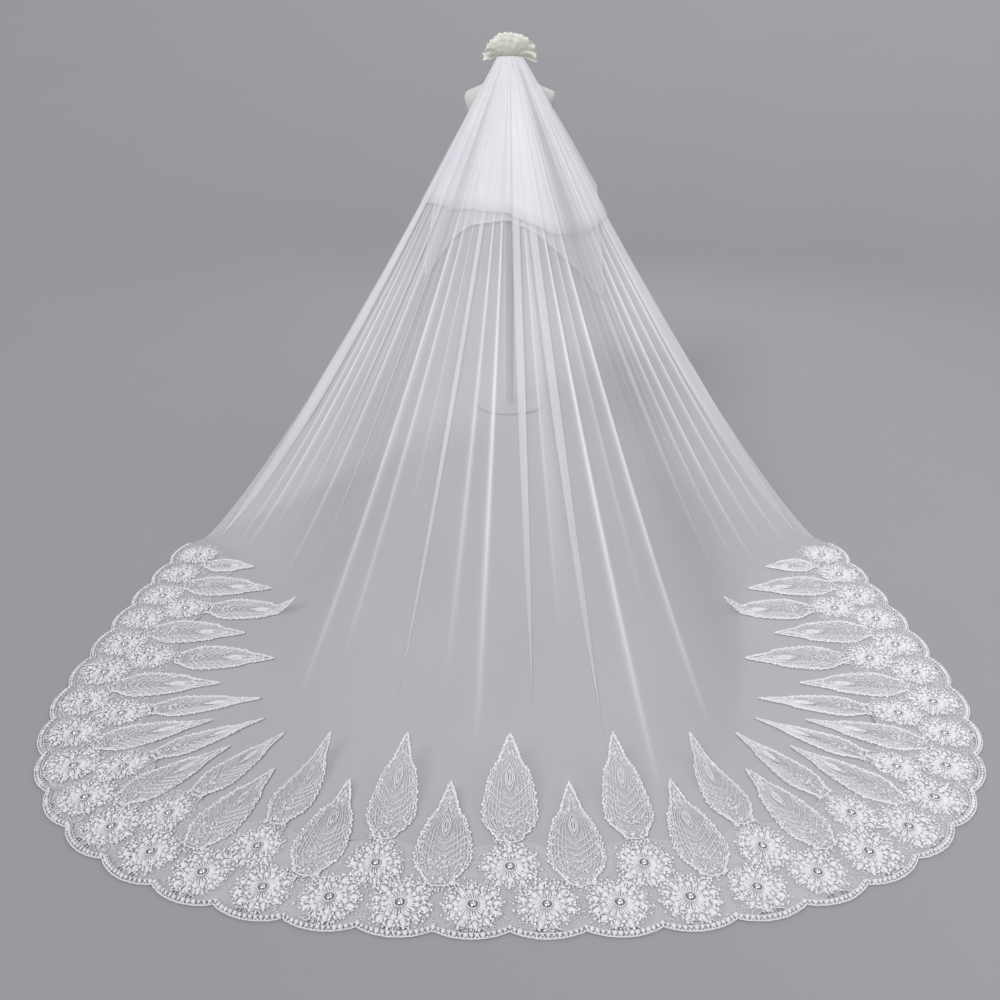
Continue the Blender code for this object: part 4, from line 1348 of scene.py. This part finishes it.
def makeMedallion(seed):
    # the whole motif flat in its own plane: X along the hem, Y inwards, Z up
    random = np.random.default_rng(seed)
    size = medallion["radius"]
    fingerRing = {
        "Count": medallion["fingers"], "Ring radius": size * 0.20, "Seed": seed,
        "Turn unevenness": 0.05, "Size unevenness": 0.12, "Turn": random.uniform(0, 6.28),
    }
    finger = domeMesh(fingerOutline(size * 0.28), 0.0030, 1.0, whiteThread)
    fingers = runTree(petalsOnRing, finger, fingerRing)
    lobe = ringLine(size * 0.094, 0.0, 9, size * 0.016, 4)[:, :2] + (size * 0.08, 0.0)
    lobeRing = {
        "Count": medallion["lobes"], "Ring radius": size * 0.47, "Seed": seed + 1,
        "Turn unevenness": 0.12, "Size unevenness": 0.28, "Turn": random.uniform(0, 6.28),
    }
    lobes = runTree(petalsOnRing, domeMesh(lobe, 0.0040, 1.2, whiteThread), lobeRing)
    petalRing = {
        "Count": medallion["petals"], "Ring radius": size * 0.63, "Seed": seed + 2,
        "Turn unevenness": 0.16, "Size unevenness": 0.20, "Turn": random.uniform(0, 6.28),
    }
    petals = runTree(petalsOnRing, makePetal(size * 0.37, size * 0.145), petalRing)
    cord = threadLines([(ringLine(size * 0.19, 0.0022, 22), True)], 0.0013, 4)
    claw = threadLines([(ringLine(0.0074, 0.0022, 14), True)], 0.0008, 4, silverSetting)
    loops = []
    for _ in range(medallion["loops"]):
        radius = size * random.uniform(0.46, 1.06)
        turn = random.uniform(0, 2 * math.pi)
        ring = squiggle(random, random.uniform(0.0020, 0.0038))
        ring = ring + (radius * math.cos(turn), radius * math.sin(turn))
        loops.append((np.column_stack([ring, np.full(len(ring), 0.0013)]), False))
    loopThreads = threadLines(loops, 0.0010, 3)
    spots = []
    for _ in range(medallion["blobs"]):
        radius = size * random.uniform(0.42, 1.14)
        turn = random.uniform(0, 2 * math.pi)
        spots.append((radius * math.cos(turn), radius * math.sin(turn), 0.0016))
    blobs = scatterBlobs(random, spots, 0.0026, seed)
    names = [material.name for material in laceFinishes]
    parts = [arraysAs(cord, 0), arraysAs(claw, 3), arraysAs(loopThreads, 0), arraysAs(blobs, 0)]
    parts.append(arraysAs(makeStone(), 2))
    for mesh in (fingers, lobes, petals):
        points, corners, counts, looks = meshArrays(mesh)
        match = np.array([names.index(material.name) for material in mesh.materials])
        parts.append((points, corners, counts, match[looks]))
    return combine(parts)


laceFinishes = [whiteThread, seedBead, crystal, silverSetting]


def combine(parts):
    starts = np.cumsum([0] + [len(part[0]) for part in parts])
    return (
        np.concatenate([part[0] for part in parts]),
        np.concatenate([part[1] + start for part, start in zip(parts, starts)]),
        np.concatenate([part[2] for part in parts]),
        np.concatenate([part[3] for part in parts]),
    )


def turned(points, angle, stretch):
    cosine, sine = math.cos(angle), math.sin(angle)
    x, y = points[:, 0] * stretch, points[:, 1] * stretch
    return np.column_stack([x * cosine - y * sine, x * sine + y * cosine, points[:, 2]])


def makeMedallions():
    kinds = []
    for seed in range(medallion["kinds"]):
        kinds.append(makeMedallion(20 + 10 * seed))
    random = np.random.default_rng(3)
    stretches = (
        ("LeftSide", 0, 3), ("LeftCorner", 3, 7), ("Front", 7, 10), ("RightCorner", 10, 14),
        ("RightSide", 14, 17),
    )
    for name, first, end in stretches:
        places = [(s + 0.5, medallion["outerDepth"]) for s in range(2 * first, 2 * end)]
        inner = range(max(first, 1), min(end, 16))
        places += [(2 * repeat + 1, medallion["innerDepth"]) for repeat in inner]
        stamps = []
        for place, depth in places:
            points, corners, counts, looks = kinds[random.integers(len(kinds))]
            local = turned(points, random.uniform(0, 2 * math.pi), random.uniform(0.97, 1.05))
            stamps.append((layOnTrain(local, place, depth), corners, counts, looks))
        mesh = meshFromArrays("medallions" + name, stamps, laceFinishes)
        piece = newPiece("medallions" + name, mesh)
        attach(piece, "root")
        print(piece.name, len(mesh.polygons), "faces")


makeMedallions()


# Leaves

leaf = {
    "halfWidth": 0.058,
    "tall": (0.222, 0.470),
    "short": (0.108, 0.360),
    "end": (0.118, 0.262),
    "endWidth": 0.7,
    "kinds": 3,
    "loops": 74,
    "blobs": 56,
    "neckKnots": 22,
    "neckLoops": 10,
    "fill": 0.85,
    "sideFill": 2.0,
    "eyePlace": 0.60,
    "eyeLength": 0.25,
    "eyeHalfWidth": 0.0098,
}
leafOutline = (  # share of the length, share of the half width
    (0.00, 0.42), (0.05, 0.52), (0.12, 0.74), (0.19, 0.92), (0.27, 1.00), (0.42, 0.95),
    (0.57, 0.83), (0.67, 0.69), (0.71, 0.56), (0.76, 0.42), (0.83, 0.33), (0.90, 0.22), (1.00, 0.03),
)


def leafWidthAt(share):
    shares, widths = zip(*leafOutline)
    return np.interp(share, shares, widths)


def leafLine(inset, first, last, length, halfWidth, count=40):
    # both sides of a line that follows the leaf's outline, joined at the top
    share = np.linspace(first, last, count)
    grown = np.clip((last - share) / (0.35 * (last - first)), 0.0, 1.0) ** 0.7
    width = leafWidthAt(share) * inset * halfWidth * (grown if inset < 0.95 else 1.0)
    right = np.stack([width, share * length], axis=1)
    return np.concatenate([right, right[-2::-1] * (-1, 1)])


def makeLeaf(length, halfWidth, seed):
    random = np.random.default_rng(seed)

    def rough(line, amount):
        return line + random.normal(0.0, amount, line.shape)

    def raised(line, height):
        return np.column_stack([line, np.full(len(line), height)])

    outline = leafLine(1.0, 0.0, 1.0, length, halfWidth, 46)
    bumps = 1 + 0.045 * np.sin(np.arange(len(outline)) * 1.9)
    outline = outline * np.column_stack([bumps, np.ones(len(outline))])
    cords = [(raised(rough(outline, 0.0009), 0.0016), False)]
    cords.append((raised(rough(outline * (0.90, 0.985), 0.0009), 0.0018), False))
    thin = []
    for inset, first, last in ((0.78, 0.06, 0.92), (0.64, 0.12, 0.88), (0.50, 0.18, 0.84), (0.36, 0.26, 0.80)):
        line = leafLine(inset, first, last, length, halfWidth, 26)
        thin.append((raised(rough(line, 0.0006), 0.0017), False))
    foot = np.linspace(-1, 1, 9)
    footLine = np.stack([foot * leafWidthAt(0.0) * halfWidth, 0.006 * (foot ** 2 - 1)], axis=1)
    cords.append((raised(rough(footLine, 0.0006), 0.0018), False))
    eyeShare = np.linspace(0, 1, 12)
    for scale in (1.0, 0.62):  # the eye above the middle
        width = leaf["eyeHalfWidth"] * scale * np.sin(math.pi * eyeShare)
        up = length * (leaf["eyePlace"] + (eyeShare - 0.5) * leaf["eyeLength"] * scale)
        right = np.stack([width, up], axis=1)
        eye = np.concatenate([right, right[-2:0:-1] * (-1, 1)])
        cords.append((raised(eye, 0.0024), True))
    stem = length * (leaf["eyePlace"] + np.linspace(-0.06, 0.06, 8))
    cords.append((raised(np.stack([np.zeros(8), stem], axis=1), 0.0028), False))
    for low in np.linspace(0.14, 0.40, 5):  # chevrons below the eye
        for side in (-1, 1):
            share = np.linspace(0, 1, 7)
            x = side * share * leafWidthAt(low + 0.12) * halfWidth * 0.84
            y = length * (low + 0.16 * share ** 1.3)
            thin.append((raised(rough(np.stack([x, y], axis=1), 0.0006), 0.0016), False))
    for _ in range(leaf["loops"]):
        share = random.choice((random.uniform(0.0, 0.22), random.uniform(0.22, 0.72), random.uniform(0.72, 0.98)))
        least = 0.62 if 0.22 < share < 0.72 else 0.0
        x = random.choice((-1, 1)) * random.uniform(least, 1.0) * leafWidthAt(share) * halfWidth
        ring = squiggle(random, random.uniform(0.0026, 0.0046)) + (x, share * length)
        thin.append((raised(ring, random.uniform(0.0014, 0.0024)), False))
    spots = []
    for _ in range(leaf["neckKnots"]):  # the foot runs on to the medallion below
        out = random.uniform(-1, 1) * halfWidth * 0.52
        spots.append((out, random.uniform(-0.022, 0.012) + 0.010 * abs(out) / halfWidth, 0.0022))
    for _ in range(leaf["neckLoops"]):
        middle = (random.uniform(-0.6, 0.6) * halfWidth, random.uniform(-0.018, 0.004))
        ring = squiggle(random, random.uniform(0.0036, 0.0056)) + middle
        thin.append((raised(ring, 0.0018), False))
    for angle in np.linspace(0, 2 * math.pi, 9)[:-1]:  # knots round the opening under the eye
        spots.append((0.0085 * math.cos(angle), length * 0.21 + 0.016 * math.sin(angle), 0.0024))
    for _ in range(leaf["blobs"]):  # knots, closest at the foot and the tip
        share = random.choice((random.uniform(0.0, 0.24), random.uniform(0.2, 0.75), random.uniform(0.75, 0.99)))
        least = 0.8 if 0.24 < share < 0.75 else 0.0
        x = random.choice((-1, 1)) * random.uniform(least, 1.0) * leafWidthAt(share) * halfWidth
        spots.append((x, share * length, 0.0022))
    cordMesh = threadLines(cords, 0.0017, 4)
    thinMesh = threadLines(thin, 0.0014, 3)
    beads = beadLines([(raised(outline * (1.02, 1.0), 0.0018), False)], 0.0026, 0.0095, seed, 0.4)
    blobs = scatterBlobs(random, spots, 0.0026, seed)
    net = newMesh("leafNet", *leafNet(length, halfWidth), laceNet)
    parts = [
        arraysAs(cordMesh, 0), arraysAs(thinMesh, 0), arraysAs(blobs, 0), arraysAs(beads, 1),
        arraysAs(net, 2),
    ]
    return combine(parts), [whiteThread, seedBead, laceNet]


def leafNet(length, halfWidth):
    shares = np.linspace(0.0, 0.99, 22)
    across = np.linspace(-1, 1, 7)
    width = leafWidthAt(shares)[:, None] * halfWidth * across
    points = np.stack([width, np.broadcast_to((shares * length)[:, None], width.shape), np.full(width.shape, 0.0006)], axis=-1)
    index = np.arange(width.size).reshape(width.shape)
    corners = (index[:-1, :-1], index[:-1, 1:], index[1:, 1:], index[1:, :-1])
    faces = np.stack(corners, axis=-1).reshape(-1, 4).tolist()
    return points.reshape(-1, 3), faces


def makeLeaves():
    sizes = {
        "tall": (leaf["tall"], 1.0), "short": (leaf["short"], 1.0), "end": (leaf["end"], leaf["endWidth"]),
    }
    kinds = {}
    for label, (ends, wide) in sizes.items():
        length = ends[1] - ends[0]
        kinds[label] = [
            makeLeaf(length, leaf["halfWidth"] * wide, 50 + 7 * seed + len(label))
            for seed in range(leaf["kinds"])
        ]
    plan = [("end", 1, "leaf_end_left"), ("end", 33, "leaf_end_right")]
    plan += [("tall", 2 * repeat + 1, f"leaf_tall_{repeat:02d}") for repeat in range(1, 16)]
    plan += [("short", 2 * repeat, f"leaf_short_{repeat:02d}") for repeat in range(1, 17)]
    random = np.random.default_rng(8)
    faces = 0
    for label, place, node in plan:
        (points, corners, counts, looks), materials = kinds[label][random.integers(leaf["kinds"])]
        local = points * ((-1, 1, 1) if random.random() < 0.5 else (1, 1, 1))
        if local[0, 0] != points[0, 0]:
            local = points
        laid = layOnTrain(local, place, sizes[label][0][0])
        mesh = meshFromArrays(node, [(laid, corners, counts, looks)], materials)
        setUv(mesh, points[:, :2])
        setValue(mesh, "layers", np.full(len(points), 1.3))
        fill = leaf["fill"] + (leaf["sideFill"] - leaf["fill"]) * sideShareAt(place)
        setValue(mesh, "fill", np.full(len(points), fill))
        piece = newPiece(node.title().replace("_", ""), mesh)
        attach(piece, "root")
        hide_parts(node)
        faces += len(mesh.polygons)
    print("leaves:", len(plan), "pieces,", faces, "faces")


makeLeaves()


# Headpiece

headpiece = {
    "padTop": 1.4649,
    "rootHalfWidth": 0.042,
    "rise": 0.012,
    "scallop": 0.055,
    "lumps": 1.5,
    "crumple": 0.0016,
    "fabric": 0.0012,
}
# node, root y, lean (degrees back), half width, height, sweep (degrees), waves, ripple
ruffles = (
    ("headpiece_ruffle_back", -0.055, 16, 0.110, 0.086, 97, 8, 0.0035),
    ("headpiece_ruffle_middle", -0.042, 3, 0.103, 0.088, 88, 7, 0.0050),
    ("headpiece_ruffle_front", -0.029, -14, 0.094, 0.078, 84, 6, 0.0055),
    ("headpiece_ruffle_low", -0.017, -38, 0.080, 0.066, 80, 5, 0.0045),
)
# node, root x, root y, tip x, tip z
drooping = (
    ("headpiece_petal_left", -0.0506, -0.034, -0.108, 1.452),
    ("headpiece_petal_right", 0.0506, -0.034, 0.112, 1.444),
)


def thicken(piece, thickness):
    shell = piece.modifiers.new("fabric", "SOLIDIFY")
    shell.thickness = thickness
    shell.offset = 0.0


def makeRuffle(node, rootY, lean, halfWidth, height, sweep, waves, ripple):
    across = np.linspace(-1, 1, waves * 14 + 1)[None, :]
    out = np.linspace(0, 1, 18)[:, None]
    turn = np.radians(across * sweep)
    wave = np.cos(math.pi * (across + 1) * waves)
    small = 0.3 * np.cos(math.pi * (across + 1) * waves * 2.6 + 0.7)
    frill = (1 + np.cos(math.pi * (across + 1) * waves * 1.9 + rootY * 500)) / 2
    lump = 0.5 * np.sin(across * 5.3 + rootY * 210) * np.cos(across * 3.1 - rootY * 90)
    scallop = 1 - headpiece["scallop"] * out * (
        (1 + wave) / 2 + 0.7 * frill * out ** 4 + headpiece["lumps"] * lump * out ** 2
    )
    tipX = halfWidth * np.sin(turn) * scallop
    tipZ = height * np.cos(turn) * scallop
    x = headpiece["rootHalfWidth"] * across * (1 - out) + tipX * out
    z = tipZ * out + headpiece["rise"] * np.sin(math.pi * out)
    y = rootY - math.tan(math.radians(lean)) * np.clip(z, 0.0, None)
    y = y - ripple * wave * out ** 3 - 0.6 * ripple * small * out ** 6
    y = y - 0.010 * np.sin(math.pi * out ** 0.8) * np.cos(math.pi / 2 * across)  # full body
    y = y + 0.0025 * np.sin(math.pi * out) * np.sin(across * 7 + rootY * 300)
    crumple = np.sin(across * 13 + out * 9 + rootY * 400) * np.sin(across * 6 - out * 14)
    y = y + headpiece["crumple"] * np.sin(math.pi * out) * crumple
    points = np.stack(
        [np.broadcast_to(x, y.shape), y, headpiece["padTop"] + headpiece["fabric"] / 2 + z], axis=-1
    )
    mesh = gridMesh(node, points, ivoryFabric)
    piece = newPiece("Ruffle" + node.split("_")[-1].title(), mesh)
    thicken(piece, headpiece["fabric"])
    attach(piece, "root")
    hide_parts(node)
    return piece


def makePetalPiece(node, rootX, rootY, tipX, tipZ):
    across = np.linspace(-1, 1, 17)[None, :]
    out = np.linspace(0, 1, 20)[:, None]
    half = 0.012 * (0.5 + np.sin(math.pi * (0.1 + 0.8 * out)))
    curl = math.copysign(0.004, rootX) * across ** 2
    rootZ = headpiece["padTop"] - 0.0025
    x = rootX + (tipX - rootX - curl) * out
    turn = math.radians(45) * out
    y = rootY + half * across * np.cos(turn)
    z = rootZ + (tipZ - rootZ) * out ** 1.4 + half * across * np.sin(turn)
    z = z + 0.008 * (across ** 2 - 0.3) * out + 0.0012 * np.sin(across * 7) * out
    points = np.stack([x, np.broadcast_to(y, z.shape), z], axis=-1)
    mesh = gridMesh(node, points, ivoryFabric)
    piece = newPiece("Petal" + node.split("_")[-1].title(), mesh)
    thicken(piece, headpiece["fabric"])
    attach(piece, "root")
    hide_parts(node)
    return piece


def makePad():
    # a full little cushion that the ruffles are sewn round
    low, high = (np.array(corner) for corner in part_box("headpiece_pad"))
    bm = bmesh.new()
    bmesh.ops.create_uvsphere(bm, u_segments=56, v_segments=28, radius=1.0)
    for vert in bm.verts:
        place = np.array(vert.co)
        shape = np.sign(place) * np.abs(place) ** 0.78
        turn = math.atan2(place[1], place[0])
        gather = 1 - 0.018 * (1 + math.cos(turn * 11)) * (1 - abs(place[2]))  # tucks at the rim
        shape = shape * (gather, gather, 1.0)
        vert.co = (low + high) / 2 + shape * (high - low) / 2 * 0.995
    mesh = bpy.data.meshes.new("headpiecePad")
    bm.to_mesh(mesh)
    bm.free()
    mesh.shade_smooth()
    mesh.materials.append(ivoryFabric)
    piece = newPiece("headpiecePad", mesh)
    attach(piece, "root")
    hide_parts("headpiece_pad")


makePad()
for row in ruffles:
    makeRuffle(*row)
for row in drooping:
    makePetalPiece(*row)
print("headpiece made")


# Dress form

form = {
    "sides": 72,
    "roundness": 2.3,
    "plateCentre": (0.170, 0.0, 1.280),
    "plateTilt": math.radians(13),
}
formSections = (  # height, half width, half depth, centre y
    (0.930, 0.126, 0.089, 0.003), (0.938, 0.134, 0.095, 0.003), (0.965, 0.131, 0.094, 0.003),
    (1.000, 0.126, 0.092, 0.004), (1.080, 0.137, 0.098, 0.008), (1.160, 0.155, 0.118, 0.016),
    (1.215, 0.168, 0.122, 0.018), (1.265, 0.186, 0.104, 0.008), (1.305, 0.194, 0.084, 0.000),
    (1.326, 0.188, 0.072, -0.003), (1.340, 0.168, 0.066, -0.005), (1.352, 0.138, 0.062, -0.006),
    (1.370, 0.096, 0.060, -0.004), (1.390, 0.067, 0.057, 0.000), (1.412, 0.058, 0.054, 0.003),
    (1.448, 0.055, 0.052, 0.004),
)


def smoothSections(perSpan):
    # the sections with rounder ones between them
    table = np.array(formSections)
    padded = np.vstack([2 * table[0] - table[1], table, 2 * table[-1] - table[-2]])
    rows = []
    for span in range(len(table) - 1):
        before, start, end, after = padded[span : span + 4]
        for step in range(perSpan):
            t = step / perSpan
            rows.append(
                start + 0.5 * t * ((end - before)
                + t * (2 * before - 5 * start + 4 * end - after
                + t * (3 * start - before - 3 * end + after)))
            )
    rows.append(table[-1])
    return np.array(rows)


def makeForm():
    sections = smoothSections(5)
    turn = 2 * math.pi * np.arange(form["sides"]) / form["sides"]
    power = 2 / form["roundness"]
    across = np.sign(np.cos(turn)) * np.abs(np.cos(turn)) ** power
    along = np.sign(np.sin(turn)) * np.abs(np.sin(turn)) ** power
    x = sections[:, 1:2] * across
    y = sections[:, 3:4] + sections[:, 2:3] * along
    z = np.broadcast_to(sections[:, :1], x.shape)
    mesh = gridMesh("dressForm", np.stack([x, y, z], axis=-1), formCover, wrap=True)
    bm = bmesh.new()
    bm.from_mesh(mesh)
    bmesh.ops.holes_fill(bm, edges=[edge for edge in bm.edges if edge.is_boundary])
    for side in (-1, 1):
        seat = Vector((side * form["plateCentre"][0], *form["plateCentre"][1:]))
        outward = Vector((side * math.cos(form["plateTilt"]), 0.0, -math.sin(form["plateTilt"])))
        high = [f for f in bm.faces if f.calc_center_median().z > 1.18]
        geometry = list({v for f in high for v in f.verts}) + list({e for f in high for e in f.edges}) + high
        bmesh.ops.bisect_plane(bm, geom=geometry, plane_co=seat, plane_no=outward, clear_outer=True)
        bmesh.ops.holes_fill(bm, edges=[edge for edge in bm.edges if edge.is_boundary])
    bmesh.ops.recalc_face_normals(bm, faces=bm.faces[:])
    bm.to_mesh(mesh)
    bm.free()
    mesh.shade_smooth()
    mesh.set_sharp_from_angle(angle=math.radians(35))
    piece = newPiece("dressForm", mesh)
    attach(piece, "root")
    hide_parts("form_torso")
    return piece


dressForm = makeForm()


def refinish(material, *nodes):
    for node in nodes:
        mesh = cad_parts[node].data
        mesh.materials.clear()
        mesh.materials.append(material)


refinish(formCover, "form_arm_plate_left", "form_arm_plate_right", "form_neck_cap")
refinish(paintedMetal, "stand_base", "stand_pole")
refinish(combPlastic, "comb")
print("form and stand finished")


# Studio

studio = {
    "floorColour": (0.32, 0.32, 0.33),
    "floorLevel": -0.0005,
    "flatRadius": 4.5,
    "wallRadius": 20.0,
    "wallArc": 66.0,
    "worldStrength": 0.56,
    "pitch": 23.0,
    "cameraPlace": (0.0, -4.30, 1.35),
    "lens": 35.0,
    "shift": -0.010,
}
# name, place, aims at, size, power
lamps = (
    ("fill", (3.4, -3.6, 2.8), (0.0, -1.4, 0.4), 2.4, 40.0),
    ("rim", (0.9, 2.4, 3.2), (0.0, -0.6, 0.9), 2.4, 24.0),
)


def makeStudio():
    material, tree, shader = newMaterial("floorPaint", studio["floorColour"], 0.7)
    place = addNode(tree, "ShaderNodeTexCoord").outputs["Object"]
    drift = addNode(tree, "ShaderNodeTexNoise", {"Vector": place, "Scale": 0.8, "Detail": 3.0})
    shade = addNode(tree, "ShaderNodeMapRange", {"Value": drift.outputs["Fac"], 3: 0.98, 4: 1.02})
    paint = useGroup(
        tree, tinted, {"Colour": (*studio["floorColour"], 1.0), "Shade": shade.outputs["Result"]}
    )
    tree.links.new(paint.outputs["Colour"], shader.inputs["Base Color"])
    profile = [(0.02, 0.0), (studio["flatRadius"], 0.0)]  # a floor that curves up all round
    for step in range(1, 15):
        turn = math.radians(studio["wallArc"]) * step / 14
        profile.append((
            studio["flatRadius"] + studio["wallRadius"] * math.sin(turn),
            studio["wallRadius"] * (1 - math.cos(turn)),
        ))
    turns = 2 * math.pi * np.arange(96) / 96
    points = np.array([
        [(r * math.cos(t), r * math.sin(t), h + studio["floorLevel"]) for t in turns] for r, h in profile
    ])
    mesh = gridMesh("studioFloor", points, material, wrap=True)
    bm = bmesh.new()
    bm.from_mesh(mesh)
    bmesh.ops.holes_fill(bm, edges=[e for e in bm.edges if e.is_boundary and e.verts[0].co.z < 1.0])
    bmesh.ops.recalc_face_normals(bm, faces=bm.faces[:])
    if min(bm.faces, key=lambda face: face.calc_center_median().length).normal.z < 0:
        bmesh.ops.reverse_faces(bm, faces=bm.faces[:])
    bm.to_mesh(mesh)
    bm.free()
    newPiece("studioFloor", mesh)
    world = bpy.data.worlds.new("studioWorld")
    bpy.context.scene.world = world
    world.use_nodes = True
    sky = world.node_tree.nodes["Background"]
    sky.inputs["Color"].default_value = (0.94, 0.96, 1.0, 1.0)
    sky.inputs["Strength"].default_value = studio["worldStrength"]
    key = bpy.data.lights.new("key", "SUN")
    key.energy = 2.0
    key.angle = math.radians(28)
    keyLamp = newPiece("key", key)
    keyLamp.rotation_euler = (math.radians(38), math.radians(-34), 0.0)
    for name, position, target, size, power in lamps:
        light = bpy.data.lights.new(name, "AREA")
        light.size = size
        light.energy = power
        lamp = newPiece(name, light)
        lamp.location = position
        lamp.rotation_euler = (Vector(target) - Vector(position)).to_track_quat("-Z", "Y").to_euler()
        lamp.visible_camera = False
    bpy.context.scene.view_settings.view_transform = "Standard"


def makeCamera():
    data = bpy.data.cameras.new("camera")
    data.lens = studio["lens"]
    data.shift_x = studio["shift"]
    data.clip_end = 60.0
    camera = newPiece("camera", data)
    camera.location = studio["cameraPlace"]
    camera.rotation_euler = (math.radians(90 - studio["pitch"]), 0.0, 0.0)
    bpy.context.scene.camera = camera


makeStudio()
makeCamera()
print("studio ready")
